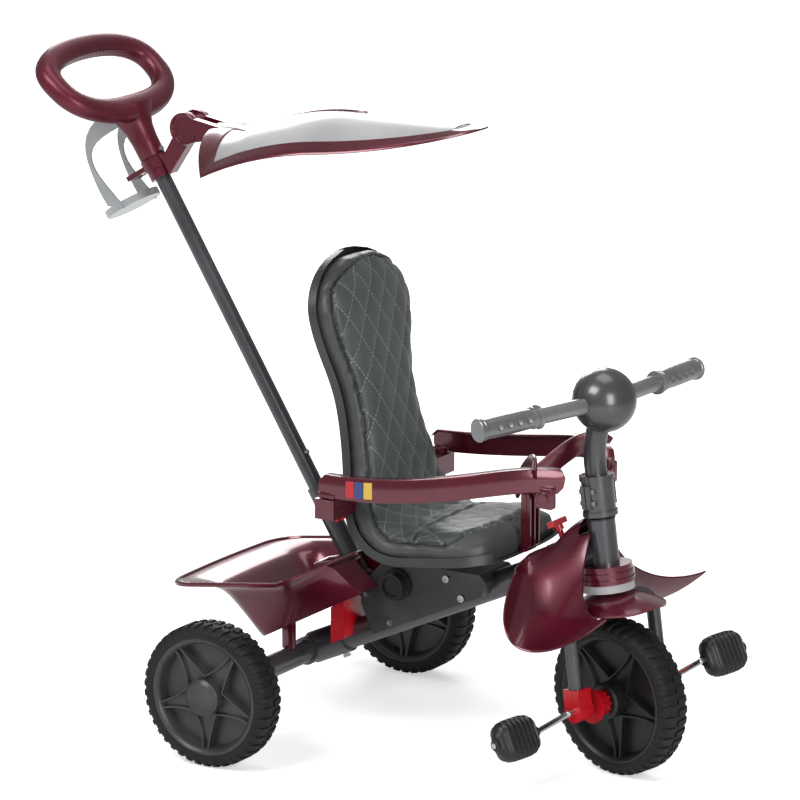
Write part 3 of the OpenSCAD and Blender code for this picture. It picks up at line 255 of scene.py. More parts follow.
FINISHES = {
    # Pearl ABS: flakes under a clear skin keep its highlights coloured and sharp.
    "maroon_gloss": finish("maroon pearl plastic", "560b20", "650f29", rough=(0.24, 0.32), metal=0.45, grain=0.4,
                           bump=0.012, coat=0.9),
    # The same colour from an etched mould: broad, soft highlights for the hand.
    "maroon_satin": finish("satin maroon grip plastic", "5c1828", "6b1e31", rough=(0.36, 0.44), metal=0.45,
                           grain=0.667, bump=0.04, coat=0.15),
    # Powder coat with metal flake over steel tube: grey, slightly orange-peeled.
    "steel_grey_metallic": finish("metallic grey powder coat", "47474b", "545458", rough=(0.26, 0.34), metal=0.5,
                                  grain=0.556, bump=0.05, coat=0.4),
    # Pearl ABS in grey, for the ball and the stem clamp.
    "grey_plastic": finish("grey pearl moulded plastic", "4c4c4c", "5a5a59", rough=(0.24, 0.32), metal=0.5,
                           grain=0.556, bump=0.03, coat=0.4),
    # Zinc plate: dull silver with a cloudy gloss, on screws and bolts.
    "zinc_steel": finish("zinc plated steel", "a9abad", "c2c4c6", rough=(0.25, 0.4), metal=1.0, grain=1.43,
                         bump=0.05),
    # Drawn bar: a clean mirror with long soft ripples, on the axle and crank.
    "bright_steel": finish("drawn bright steel", "b4b6b8", "c9cbcd", rough=(0.18, 0.28), metal=1.0, grain=2.0,
                           bump=0.03),
    # Glass-filled nylon: near black, with a fine dry texture, on pedals and bushes.
    "black_nylon": finish("black moulded nylon", "141416", "1d1d20", rough=(0.36, 0.46), grain=0.77, bump=0.12),
    # Polypropylene in charcoal: waxy, a little lighter than the tyres.
    "charcoal_plastic": finish("charcoal moulded plastic", "323334", "3e3f40", rough=(0.32, 0.42), grain=0.77,
                               bump=0.12),
    # Glossy red ABS, which marks most of what a parent may press or turn.
    "red_plastic": finish("red moulded plastic", "b00c1a", "c81424", rough=(0.26, 0.36), grain=0.667, bump=0.03,
                          coat=0.3),
    # Pale grey ABS, smooth, for the shade and the lock ring.
    "pale_plastic": finish("pale grey moulded plastic", "a3a3a4", "b0b0b1", rough=(0.3, 0.38), grain=0.667, bump=0.04,
                           coat=0.3),
    # Silver pearl ABS, for the cup holder.
    "silver_plastic": finish("silver metallic plastic", "a2a5a7", "b4b7b9", rough=(0.28, 0.36), metal=0.55,
                             grain=0.455, bump=0.03, coat=0.2),
    # Metallic grey, for the bar and its grips.
    "silver_grey_metallic": finish("silver grey metallic plastic", "77787a", "87888a", rough=(0.26, 0.36), metal=0.55,
                                   grain=0.625, bump=0.06, coat=0.2),
    # Foamed tyre compound: black, rough, with dusty highlights.
    "tyre_black": finish("moulded tyre rubber", "111113", "1b1b1d", rough=(0.55, 0.72), grain=1.43, bump=0.25,
                         specular=0.35),
}
print("finishes:", len(FINISHES))

# %% Dressing the frame


def dress(piece, slot=None):
    """Gives a piece the finish of its slot."""
    piece.data.materials.clear()
    piece.data.materials.append(FINISHES[slot])
    return piece


SLOTS = {s["node"]: s["material_slot"] for s in frame["record"]["subparts"]}
for node_name, node in frame["nodes"].items():
    if SLOTS[node_name] in FINISHES:
        node.data.materials.clear()
        node.data.materials.append(FINISHES[SLOTS[node_name]])
        node.data.shade_smooth()
        node.data.set_sharp_from_angle(angle=math.radians(35))
print("frame nodes dressed:", len(SLOTS))

# %% [markdown]
# ## Camera, light and floor
# A long lens from the front right shows the steering, the seat and the basket at once. Soft, large
# lamps suit glossy plastic, because small ones would leave hard dots on it. The floor is white, and
# far from the tricycle it glows to the camera only, so the ground stays white under any lamp and
# still takes the shadow.

# %% Camera
TARGET = at(140.93, 0, 474.51)
AZIMUTH, ELEVATION, DISTANCE = 31.54, 13.81, 7.0
a, e = math.radians(AZIMUTH), math.radians(ELEVATION)
back = Vector((math.sin(a) * math.cos(e), -math.cos(a) * math.cos(e), math.sin(e)))
camera_data = bpy.data.cameras.new("camera")
camera_data.lens = 229.96
camera_data.sensor_width = 36
camera = bpy.data.objects.new("camera", camera_data)
camera.location = TARGET + back * DISTANCE
camera.rotation_euler = (-back).to_track_quat("-Z", "Y").to_euler()
bpy.context.scene.collection.objects.link(camera)
scene = bpy.context.scene
scene.camera = camera
scene.view_settings.view_transform = "Standard"
print("camera", DISTANCE, "m away")

# %% Lamps


def soft_light(name, spot, size, power):
    """An area light that looks at the tricycle's middle."""
    data = bpy.data.lights.new(name, "AREA")
    data.shape = "RECTANGLE"
    data.size, data.size_y = size
    data.energy = power
    light = bpy.data.objects.new(name, data)
    light.location = spot
    light.rotation_euler = (at(100, 0, 400) - Vector(spot)).to_track_quat("-Z", "Y").to_euler()
    bpy.context.scene.collection.objects.link(light)


soft_light("key", (-0.6, -2.2, 2.6), (1.6, 1.2), 54)
soft_light("fill", (2.4, -1.6, 1.2), (1.0, 1.6), 36)
soft_light("top", (0.1, 0.3, 3.0), (1.8, 1.4), 17)
soft_light("back", (-1.6, 2.2, 1.6), (1.4, 1.4), 30)

# %% World
world = bpy.data.worlds.new("studio")
world.use_nodes = True
tree = world.node_tree
tree.nodes.clear()
path = add(tree, "ShaderNodeLightPath")
soft = add(tree, "ShaderNodeBackground", Color=(0.8, 0.8, 0.8, 1), Strength=0.38)
plain = add(tree, "ShaderNodeBackground", Color=(1, 1, 1, 1), Strength=1.0)
both = add(tree, "ShaderNodeMixShader", [(0, path.outputs["Is Camera Ray"]), (1, soft.outputs[0]),
                                         (2, plain.outputs[0])])
add(tree, "ShaderNodeOutputWorld", [("Surface", both.outputs[0])])
scene.world = world

print("world ready")

# %% Floor
floor_material = bpy.data.materials.new("pale floor")
floor_material.use_nodes = True
tree = floor_material.node_tree
tree.nodes.clear()
place = add(tree, "ShaderNodeTexCoord").outputs["Object"]
cloud = add(tree, "ShaderNodeTexNoise", [("Vector", place)], Scale=3.0)
tone = ramp(tree, cloud.outputs["Fac"], [(0.0, (0.97, 0.97, 0.97, 1)), (1.0, (0.99, 0.99, 0.99, 1))])
floor_shader = add(tree, "ShaderNodeBsdfDiffuse", [("Color", tone)])
far = add(tree, "ShaderNodeVectorMath", [(0, place)], operation="LENGTH").outputs["Value"]
glow_share = add(tree, "ShaderNodeMapRange", [("Value", far)], From_Min=0.8, From_Max=3.5, To_Min=0.5, To_Max=1.0)
glow = add(tree, "ShaderNodeEmission", [("Strength", glow_share.outputs[0])], Color=(1, 1, 1, 1))
sum_shader = add(tree, "ShaderNodeAddShader", [(0, floor_shader.outputs[0]), (1, glow.outputs[0])])
path = add(tree, "ShaderNodeLightPath")
seen = add(tree, "ShaderNodeMixShader", [(0, path.outputs["Is Camera Ray"]), (1, floor_shader.outputs[0]),
                                         (2, sum_shader.outputs[0])])
add(tree, "ShaderNodeOutputMaterial", [("Surface", seen.outputs[0])])
bm = bmesh.new()
bmesh.ops.create_grid(bm, x_segments=1, y_segments=1, size=14)
floor_mesh = bpy.data.meshes.new("floor")
bm.to_mesh(floor_mesh)
bm.free()
floor = bpy.data.objects.new("floor", floor_mesh)
floor.data.materials.append(floor_material)
scene.collection.objects.link(floor)
print("floor ready")

# %% [markdown]
# ## Wheels
# The tyres are moulded, with two rows of lugs that wrap over the shoulders, half a lug apart. A
# bump map could draw the lugs, but they show in the outline, so they are real: the carcass is one
# spun outline and each lug is a short skin over six stations. The rim is a dished disc with a
# five-armed star, whose arms are troughs between two thin ribs that meet near the tyre.

# %% Tyres
LUGS = 42


def tyre(r, width, wall):
    """A carcass with lugs."""
    bm = bmesh.new()
    h = width / 2
    lathe(bm, [(r - wall, -h + 1.5), (r - wall + 2, -h + 0.6), (r - 12, -h), (r - 10, -h + 0.6), (r - 5.5, -h + 3.2),
               (r - 2.4, -15), (r - 2.0, -6), (r - 2.0, 6), (r - 2.4, 15), (r - 5.5, h - 3.2), (r - 10, h - 0.6),
               (r - 12, h), (r - wall + 2, h - 0.6), (r - wall, h - 1.5)], steps=126)
    shoulder = [(2.2, r), (9, r), (15, r), (h - 4.2, r - 2.2), (h - 1.4, r - 5.4), (h - 0.2, r - 9.6)]
    for row in (1, -1):
        for i in range(LUGS):
            middle = 2 * math.pi * (i + (0.5 if row < 0 else 0)) / LUGS
            rows = []
            for k, (y, top) in enumerate(shoulder):
                wide = (0.62 if k < 3 else 0.5) * math.pi / LUGS
                deep = 4.4 if k < 4 else 3.0
                skew = 0.16 * wide * k
                rows.append([Vector((q * math.cos(g), row * y, q * math.sin(g))) for g, q in (
                    (middle + skew - wide, top - deep), (middle + skew - wide * 0.82, top),
                    (middle + skew + wide * 0.82, top), (middle + skew + wide, top - deep))])
            loft(bm, rows, around=True, caps=True)
    return bm


print("lugs on a tyre:", 2 * LUGS)

# %% Rims


def rim(r, width, hub_r, arms=5):
    """A dished disc with a star of hollow arms on both faces."""
    bm = bmesh.new()
    h = width / 2
    lathe(bm, [(r, -h + 2), (r, h - 2), (r - 3, h - 1.2), (r - 6, h - 3), (r - 9, h - 9), (r - 11, 4), (hub_r, 3),
               (hub_r, -3), (r - 11, -4), (r - 9, -h + 9), (r - 6, -h + 3), (r - 3, -h + 1.2)], steps=90)
    for face in (1, -1):
        for i in range(arms):
            a = 2 * math.pi * i / arms + math.pi / 2
            rows = []
            for t in [k / 8 for k in range(9)]:
                q = hub_r - 4 + t * (r - 8 - hub_r + 4)
                wide = 5.5 + 13 * (1 - t) ** 1.7
                top, low = h - 6 - 3 * math.sin(math.pi * t), h - 13
                ribs = [(-wide - 0.8, 2.5), (-wide, top), (-wide + 2.4, top), (-wide + 3.2, low),
                        (wide - 3.2, low), (wide - 2.4, top), (wide, top), (wide + 0.8, 2.5)]
                rows.append([Matrix.Rotation(a, 4, "Y") @ Vector((q, face * y, z)) for z, y in ribs])
            loft(bm, rows, around=True, caps=True)
    return bm


print("rim tools ready")

# %% Hub and all wheels


def hub(bm, hub_r, half, cap):
    """A stepped hub, its cap on the negative side."""
    lathe(bm, [(6.2, half), (hub_r - 3, half), (hub_r, half - 3), (hub_r, -half + 1), (hub_r - 2, -half - 1),
               (hub_r - 5, -half - cap), (hub_r - 7, -half - cap + 1.2), (0.2 if cap > 1 else 6.2, -half - cap + 1.2),
               (0.2 if cap > 1 else 6.2, -half + 2), (6.2, -half + 2)], steps=64)


for side_name, side_y in (("right", -1), ("left", 1)):
    centre = ROW @ Matrix.Translation((0, side_y * TRACK / 2, REAR_R))
    facing = centre if side_y < 0 else centre @ turn(180, "Z")
    piece = new_piece(f"rear_tyre_tread_{side_name}", tyre(REAR_R, 50, 18), f"rear_wheel_{side_name}",
                      [f"rear_tyre_{side_name}"], centre)
    dress(piece, "tyre_black")
    bm = rim(REAR_R - 18.1, 50, 26)
    hub(bm, 26, 28, 3)
    piece = new_piece(f"rear_star_rim_{side_name}", bm, f"rear_wheel_{side_name}",
                      [f"rear_rim_{side_name}"], facing)
    dress(piece, "charcoal_plastic")
dress(new_piece("front_tyre_tread", tyre(FRONT_R, 48, 18), "front_wheel", ["front_tyre"], STEERING),
      "tyre_black")
bm = rim(FRONT_R - 18.1, 48, 25)
lathe(bm, [(4.2, -34), (22, -34), (25, -31), (25, 31), (22, 34), (4.2, 34)], steps=64)
dress(new_piece("front_star_rim", bm, "front_wheel", ["front_rim"], STEERING), "black_nylon")
print("wheels made")

# %% [markdown]
# ## Pedals
# A child's pedal is a fat barrel of soft ribs that turns on the crank's pin. Separate rings would
# leave gaps, so one skin runs along the pin and steps in and out for the ribs, and its swelling
# rounds the ends.

# %% Pedals
CRANK_ARM = 66
CRANK_REST = 206
PEDAL_REST = 72


def pedal():
    """A ribbed barrel along its pin."""
    bm = bmesh.new()
    ribs = 9
    rows = []
    for i in range(ribs * 4 + 1):
        t = i / (ribs * 4)
        y = -38 + 76 * t
        swell = math.sqrt(max(0.05, 1 - (2 * t - 1) ** 4))
        dip = 0.0 if i % 4 in (0, 1) else 3.0
        rows.append([Vector((x * swell - math.copysign(dip, x) * 0.6, y, (z - math.copysign(dip, z) * 0.8) * swell))
                     for x, z in rounded_box(58, 34, 14, 4)])
    loft(bm, rows, around=True, caps=True)
    rod(bm, (0, -39.4, 0), (0, 39.4, 0), 8, 8)
    return bm


for side_name, s in (("right", 1), ("left", -1)):
    spot = Vector((s * CRANK_ARM * math.cos(math.radians(CRANK_REST)), -s * 147,
                   s * CRANK_ARM * math.sin(math.radians(CRANK_REST))))
    place = STEERING @ Matrix.Translation(spot) @ turn(PEDAL_REST, "Y")
    dress(new_piece(f"ribbed_pedal_{side_name}", pedal(), f"pedal_{side_name}",
                    [f"pedal_{side_name}"], place), "black_nylon")
print("pedals made")

# %% [markdown]
# ## Seat
# The seat is a thin moulded shell with a thick leatherette pad. Both follow one path: along the
# pan from its front, round the bend and up the back. Working in distance along that path and width
# across it keeps the shell, the pad and the stitching together, where separate blocks for back and
# pan would leave a crease. The width draws in at the waist and swells to a round head.

# %% Seat path
PAN_FROM, PAN_SLOPE, PAN_LEN = Vector((218, 269)), 7, 126
BEND_R, BACK_LEN, SEAT_LEAN = 100, 334, 12
BEND_TURN = 90 + PAN_SLOPE - SEAT_LEAN
BEND_LEN = math.radians(BEND_TURN) * BEND_R
SEAT_LEN = PAN_LEN + BEND_LEN + BACK_LEN
BEND_MID = PAN_FROM + BEND_R * Vector((-math.sin(math.radians(PAN_SLOPE)), math.cos(math.radians(PAN_SLOPE))))
PAN_HALF, WAIST_HALF, HEAD_HALF = 125, 84, 110
HEAD_AT, WAIST_AT = SEAT_LEN - 78, SEAT_LEN - 206


def aim(degrees):
    """A unit direction in the seat's side view."""
    return Vector((math.cos(math.radians(degrees)), math.sin(math.radians(degrees))))


def heading(s):
    """The direction of travel at s in degrees."""
    return 180 + PAN_SLOPE - BEND_TURN * max(0, min(1, (s - PAN_LEN) / BEND_LEN))


def seat_path(s):
    """The seat's rear face as (x, z) at distance s from the pan's front."""
    if s < PAN_LEN:
        return PAN_FROM + (PAN_LEN - s) * aim(PAN_SLOPE)
    corner = BEND_MID + BEND_R * aim(heading(s) + 90)
    return corner + max(0, s - PAN_LEN - BEND_LEN) * aim(heading(s))


def ease(a, b, t):
    """A soft change from a to b."""
    return a + (b - a) * (1 - math.cos(math.pi * max(0, min(1, t)))) / 2


def seat_half(s):
    """Half the seat's width at s."""
    if s < 60:
        return PAN_HALF * math.sqrt(1 - 0.5 * ((60 - s) / 60) ** 2)
    if s < PAN_LEN + 40:
        return PAN_HALF
    if s < WAIST_AT:
        return ease(PAN_HALF, WAIST_HALF, (s - PAN_LEN - 40) / (WAIST_AT - PAN_LEN - 40))
    if s < HEAD_AT:
        return ease(WAIST_HALF, HEAD_HALF, (s - WAIST_AT) / (HEAD_AT - WAIST_AT))
    return HEAD_HALF * math.sqrt(max(0.02, 1 - ((s - HEAD_AT) / 78) ** 2))


def seat_open(s):
    """One along the seat, rounding down to nothing at its two ends."""
    return math.sqrt(max(0, 1 - (1 - min(1, min(s + 6, SEAT_LEN - s + 4) / 46)) ** 2))


def seat_place(s, y, depth):
    """The point at s along the seat, y across it and depth towards the child."""
    p = seat_path(s) - depth * aim(heading(s) + 90)
    return Vector((p.x, y, p.y))


def dish(s, k):
    """How far the shell's rear face bends forward at s and k."""
    return 9 * (1 - seat_open(s) * (1 - abs(k) ** 4))


# %% Seat shell
bm = bmesh.new()
columns = [math.sin(math.pi / 2 * j / 12) for j in range(-12, 13)]
rows = []
for i in range(85):
    s = SEAT_LEN * i / 84
    w = seat_half(s)
    rows.append([seat_place(s, k * w, dish(s, k)) for k in columns]
                + [seat_place(s, k * (w - 1.5), dish(s, k) + 3.5 + 9 * abs(k) ** 24) for k in reversed(columns)])
loft(bm, rows, around=True, caps=True)
dress(new_piece("seat_back_shell", bm, "seat", ["seat_shell"]), "charcoal_plastic")

# %% [markdown]
# ### The pad
# A pad is sewn flat and stuffed, so its front crowns and its sides bulge. Its closed skin is made
# slightly small, turned into even cloth by a voxel remesh, and filled by a cloth simulation under
# pressure. The move is capped so that the pad keeps to the shell, and then it is smoothed.

# %% Seat pad
def pad_edge(s):
    """Half the shell's width at s; where it is used, the pad is set in from it."""
    return seat_half(s)


bm = bmesh.new()
rows = []
for i in range(1, 73):
    s = 4 + (SEAT_LEN - 8) * (i - 1) / 71
    w, o = pad_edge(s) - 3, seat_open(s)
    rows.append([seat_place(s, k * w, dish(s, k) + 5) for k in columns]
                + [seat_place(s, k * w * 0.985, 41 + 8 * o * (1 - abs(k) ** 4)) for k in reversed(columns)])
loft(bm, rows, around=True, caps=True)
bmesh.ops.transform(bm, matrix=ROW, verts=bm.verts)
bmesh.ops.remove_doubles(bm, verts=bm.verts, dist=0.0001)
bmesh.ops.recalc_face_normals(bm, faces=bm.faces)
pad_mesh = bpy.data.meshes.new("quilted_seat_pad")
bm.to_mesh(pad_mesh)
bm.free()
pad = bpy.data.objects.new("quilted_seat_pad", pad_mesh)
scene.collection.objects.link(pad)


def baked(obj):
    """Replaces an object's mesh by what its modifiers make of it."""
    graph = bpy.context.evaluated_depsgraph_get()
    mesh = bpy.data.meshes.new_from_object(obj.evaluated_get(graph))
    obj.modifiers.clear()
    obj.data = mesh


remesh = pad.modifiers.new("remesh", "REMESH")
remesh.mode = "VOXEL"
remesh.voxel_size = 0.0055
baked(pad)
before = [v.co.copy() for v in pad.data.vertices]
cloth = pad.modifiers.new("cloth", "CLOTH")
cloth.settings.use_pressure = True
cloth.settings.uniform_pressure_force = 4
cloth.settings.effector_weights.gravity = 0
cloth.settings.quality = 6
cloth.collision_settings.use_collision = False
for frame_number in range(1, 21):
    scene.frame_set(frame_number)
baked(pad)
for vertex, old in zip(pad.data.vertices, before):
    move = vertex.co - old
    if move.length > 0.006:
        vertex.co = old + move.normalized() * 0.006
scene.frame_set(1)
soften = pad.modifiers.new("soften", "SMOOTH")
soften.factor = 0.5
soften.iterations = 6
baked(pad)
finer = pad.modifiers.new("finer", "SUBSURF")
finer.levels = 1
baked(pad)

# %% [markdown]
# ### Seams and quilting
# Sewing pulls the leatherette down along each seam. The remesh would rub out a narrow seam, so the
# seams come after it: each point's place along and across the seat is worked out, the panel's seam
# and the diamonds are pressed in, and the place is kept as attributes for the stitches.

# %% Pad seams
QUILT_TALL, QUILT_WIDE = 58, 38
BASE_SEAM = 112


def along(point):
    """Distance along the seat's path of a point, with its depth above the rear face."""
    p = Vector(((point.x - AXLE_X) / MM, point.z / MM))
    from_bend = p - BEND_MID
    angle = math.degrees(math.atan2(from_bend.y, from_bend.x)) % 360
    first, last = 270 + PAN_SLOPE, 270 + PAN_SLOPE - BEND_TURN
    if angle > first or angle < 90:
        way = aim(PAN_SLOPE)
        s = PAN_LEN - (p - PAN_FROM).dot(way)
        if s < PAN_LEN:
            return s, (p - PAN_FROM).dot(Vector((-way.y, way.x)))
    if angle > last:
        return PAN_LEN + math.radians(first - angle) * BEND_R, BEND_R - from_bend.length
    way = aim(heading(SEAT_LEN))
    corner = BEND_MID + BEND_R * aim(heading(SEAT_LEN) + 90)
    return PAN_LEN + BEND_LEN + (p - corner).dot(way), (p - corner).dot(Vector((way.y, -way.x)))


sample = seat_place(500, 0, 20) * MM + Vector((AXLE_X, 0, 0))
print("distance and depth of a point set at 500 and 20:", [round(v) for v in along(sample)])

# %% Panel and quilt


def panel_half(s):
    """Half the centre panel's width at s, less than nothing past its ends."""
    if s < 22 or s > SEAT_LEN - 14:
        return -10
    wide = seat_half(s) - 14
    ends = min(1, (s - 22) / 40, (SEAT_LEN - 14 - s) / 30)
    return wide * math.sqrt(max(0, 1 - (1 - ends) ** 2))


def groove(distance, width):
    """One at no distance, falling softly to nothing at width."""
    return max(0, 1 - (distance / width) ** 2) ** 2


pad_mesh = pad.data
pad_mesh.shade_smooth()
edge_share = pad_mesh.attributes.new("panel_edge", "FLOAT", "POINT")
run_share = pad_mesh.attributes.new("run", "FLOAT", "POINT")
across_share = pad_mesh.attributes.new("across", "FLOAT", "POINT")
for vertex in pad_mesh.vertices:
    s, depth = along(vertex.co)
    y = abs(vertex.co.y) / MM
    half = panel_half(s)
    edge_share.data[vertex.index].value = half - y if depth > 30 else -30
    run_share.data[vertex.index].value = s
    across_share.data[vertex.index].value = y
    if depth < 26:
        continue
    press = 4.5 * groove(abs(y - half), 5)
    if y < half:
        press = max(press, 3.6 * groove(abs(s - BASE_SEAM), 5))
        u, v = s / QUILT_TALL + y / QUILT_WIDE, s / QUILT_TALL - y / QUILT_WIDE
        press += 1.3 - 2.2 * abs(math.sin(math.pi * u) * math.sin(math.pi * v)) ** 0.6
    else:
        press -= 1.0 * groove(abs(y - half - 8), 9)
    vertex.co -= vertex.normal * press * MM
print("pad points", len(pad_mesh.vertices))

# %% [markdown]
# ### Leatherette
# Coated fabric has a small cell grain and a soft gloss. The stitches are thinner than the mesh, so
# they are drawn by the material from the attributes: dashes on two families of slanted lines.

# %% Leatherette nodes
LEATHER_CELL = 1.61
leather = bpy.data.materials.new("quilted leatherette")
leather.use_nodes = True
tree = leather.node_tree
tree.nodes.clear()
place = add(tree, "ShaderNodeTexCoord").outputs["Object"]
edge = add(tree, "ShaderNodeAttribute", attribute_name="panel_edge").outputs["Fac"]
run = add(tree, "ShaderNodeAttribute", attribute_name="run").outputs["Fac"]
across = add(tree, "ShaderNodeAttribute", attribute_name="across").outputs["Fac"]


def calc(operation, a, b=0.0, c=0.0):
    """A maths node over sockets or numbers."""
    node = tree.nodes.new("ShaderNodeMath")
    node.operation = operation
    for socket, value in zip(node.inputs, (a, b, c)):
        if isinstance(value, (int, float)):
            socket.default_value = value
        else:
            tree.links.new(value, socket)
    return node.outputs[0]


def line(value, spot, half_width):
    """One where a value is within half_width of a spot."""
    return calc("LESS_THAN", calc("ABSOLUTE", calc("SUBTRACT", value, spot)), half_width)


print("leather nodes ready")

# %% Stitches and colours
THREAD = 0.021
STITCH = 5.2


def stitched(sign):
    """One run of stitch lines across the quilt, broken into stitches."""
    turn_to = calc("MULTIPLY", across, sign / QUILT_WIDE)
    spot = calc("ADD", calc("DIVIDE", run, QUILT_TALL), turn_to)
    on_line = line(calc("PINGPONG", spot, 0.5), 0.0, THREAD)
    dashes = calc("GREATER_THAN", calc("FRACT", calc("DIVIDE", run, STITCH)), 0.3)
    return calc("MULTIPLY", on_line, dashes)


def shade(factor, low, high):
    """Mixes two colours, each a socket or a hex text."""
    node = add(tree, "ShaderNodeMix", [("Factor", factor)], data_type="RGBA")
    for socket, value in ((node.inputs[6], low), (node.inputs[7], high)):
        if isinstance(value, str):
            socket.default_value = rgb(value)
        else:
            tree.links.new(value, socket)
    return node.outputs[2]


inside = calc("GREATER_THAN", edge, 0.0)
cloud = add(tree, "ShaderNodeTexNoise", [("Vector", place)], Scale=18.0)
bolster = ramp(tree, cloud.outputs["Fac"], [(0.3, rgb("393b3c")), (0.7, rgb("444748"))])
centre = ramp(tree, cloud.outputs["Fac"], [(0.3, rgb("404645")), (0.7, rgb("4b5150"))])
quilt = calc("MULTIPLY", calc("MAXIMUM", stitched(1), stitched(-1)), inside)
colour = shade(quilt, shade(inside, bolster, centre), "7d8482")
colour = shade(calc("MAXIMUM", line(edge, 0.0, 1.6), calc("MULTIPLY", line(run, BASE_SEAM, 1.2), inside)),
               colour, "17181a")
cells = add(tree, "ShaderNodeTexVoronoi", [("Vector", place)], Scale=1 / (LEATHER_CELL * MM))
fine = add(tree, "ShaderNodeBump", [("Height", cells.outputs["Distance"])], Strength=0.35, Distance=0.0004)
shader = add(tree, "ShaderNodeBsdfPrincipled", [("Base Color", colour), ("Normal", fine.outputs[0])],
             Roughness=0.42, Sheen_Weight=0.15)
add(tree, "ShaderNodeOutputMaterial", [("Surface", shader.outputs[0])])
pad.data.materials.clear()
pad.data.materials.append(leather)
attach(pad, "seat")
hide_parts("seat_pad")

# %% [markdown]
# ## Canopy
# The canopy is a rigid moulded shade: a maroon border with a spine, a pale panel inside it, and two
# round cheeks on a tilting drum. One function gives any point of the shade, along it and across it,
# so border, spine and panel share one surface and meet without gaps.

# %% Canopy sheet
HINGE = ROD_TOP + Vector((56, 0, 64))
SHEET_X0, SHEET_LEN, SHEET_HALF = HINGE.x + 102, 372, 132
DROOP, RISE, BORDER, SHEET_END = 46, 42, 22, 0.995


def sheet_half(t):
    return SHEET_HALF * max(0, 1 - t ** 2.3) ** 0.62


def sheet(t, k, lift=0.0):
    """A point on the canopy at t along it and k across it, from -1 to 1."""
    w = sheet_half(t)
    bow = 56 * (1 - k * k) * max(0, 1 - t / 0.5) ** 2
    share = max(0, t - bow / SHEET_LEN)
    top = HINGE.z + 6 + RISE * (1 - (1 - min(1, share / 0.45)) ** 2) - 4 * share
    return Vector((SHEET_X0 + SHEET_LEN * t - bow, k * w, top - DROOP * k * k * (w / SHEET_HALF) ** 1.5 + lift))


def sheet_loop(inset, n=30):
    """The sheet's outline moved inwards, run round from the rear right corner."""
    a, b = inset / SHEET_LEN, SHEET_END - inset * 1.6 / SHEET_LEN
    edge = [(a + (b - a) * math.sin(math.pi / 2 * i / n)) for i in range(n + 1)]
    near = [(t, -1 + min(0.8, inset / max(8, sheet_half(t)))) for t in edge]
    far = [(t, 1 - min(0.8, inset / max(8, sheet_half(t)))) for t in reversed(edge)]
    rear = [(a, (1 - inset / sheet_half(a)) * (1 - 2 * i / n)) for i in range(1, n)]
    return near + far + rear


print("shade from", round(SHEET_X0), "for", SHEET_LEN)

# %% Border, cheeks and spine
bm = bmesh.new()
lines = [(0.4, 0.2), (0.0, 1.2), (0.8, 3.0), (4, 3.4), (BORDER * 0.5, 3.0), (BORDER - 3, 2.8), (BORDER - 1, 3.0),
         (BORDER, 2.2), (BORDER, 0.4), (BORDER * 0.5, 0.0)]
loops = [[sheet(t, k, lift) for t, k in sheet_loop(inset)] for inset, lift in lines]
loft(bm, list(zip(*loops)), around=True, along=True)
for s in (-1, 1):
    outline = [(12.5, 9.3), (23, 9.3), (23, 12), (22, 12.6), (22, 15), (23, 15.6), (23, 20), (21.5, 22), (19, 22),
               (18, 20.6), (16, 20.6), (12.5, 20.6)]
    lathe(bm, [(r, s * y) for r, y in outline], steps=72, place=Matrix.Translation(HINGE))
    root = [[Vector((x, s * y, z)) for x, z in ((HINGE.x + 4, HINGE.z - 20), (SHEET_X0 - 34, HINGE.z - 6),
                                               (SHEET_X0 - 34, HINGE.z + 7), (HINGE.x + 4, HINGE.z + 18))]
            for y in (9.4, 20.8)]
    loft(bm, root, around=True, caps=True)
spine = []
for i in range(25):
    t = 0.5 * i / 24
    w = 20 * (1 - i / 24.5) ** 0.8
    side = w / sheet_half(t)
    spine.append([sheet(t, k * side, lift) for k, lift in ((-1, 2.4), (-0.7, 3.8), (0, 4.4), (0.7, 3.8), (1, 2.4))])
loft(bm, spine, around=True, caps=True)
dress(new_piece("canopy_border", bm, "canopy", ["canopy_rim"]), "maroon_gloss")

print("border made")

# %% Pale panel
bm = bmesh.new()
top, under = [], []
for i in range(41):
    t = BORDER / SHEET_LEN + (SHEET_END - BORDER * 2.6 / SHEET_LEN) * math.sin(math.pi / 2 * i / 40)
    w = 1 - min(0.8, (BORDER + 0.2) / max(8, sheet_half(t)))
    rib = 1.6 * groove(abs(t - 0.16) * SHEET_LEN, 5)
    top.append([sheet(t, w * (j / 12 - 1), 2.2 + rib) for j in range(25)])
    under.append([sheet(t, w * (j / 12 - 1), 0.4 + rib) for j in range(25)])
loft(bm, [a + b[::-1] for a, b in zip(top, under)], around=True, caps=True)
dress(new_piece("canopy_pale_panel", bm, "canopy", ["canopy_panel"]), "pale_plastic")
print("canopy made")

# %% [markdown]
# ## Push handle
# The ring is a satin grip with a slightly flattened section, fuller at its foot, where it runs into
# the neck. A torus has the same section all round, so the ring is a skin over sections instead. A
# double row of small stitches follows its inner side.

# %% Ring handle
RING_HALF_L, RING_HALF_W, RING_T, RING_TILT = 78, 138, 34, 40
RING_MID = ROD_TOP + 145 * ROD_DIR - 9 * ROD_FWD
RING_IN_ROW = Matrix.Translation(RING_MID) @ turn(RING_TILT, "Y")
RING = ROW @ RING_IN_ROW


def power(value, exponent):
    """A power that keeps the sign."""
    return math.copysign(abs(value) ** exponent, value)


def ring_point(a, inset, lift):
    """A point round the ring at angle a, moved in from its outline."""
    taper = 1 - 0.1 * math.cos(a)
    return Vector(((RING_HALF_L - inset) * power(math.cos(a), 0.8),
                   (RING_HALF_W - inset) * power(math.sin(a), 0.94) * taper * 0.96, lift))


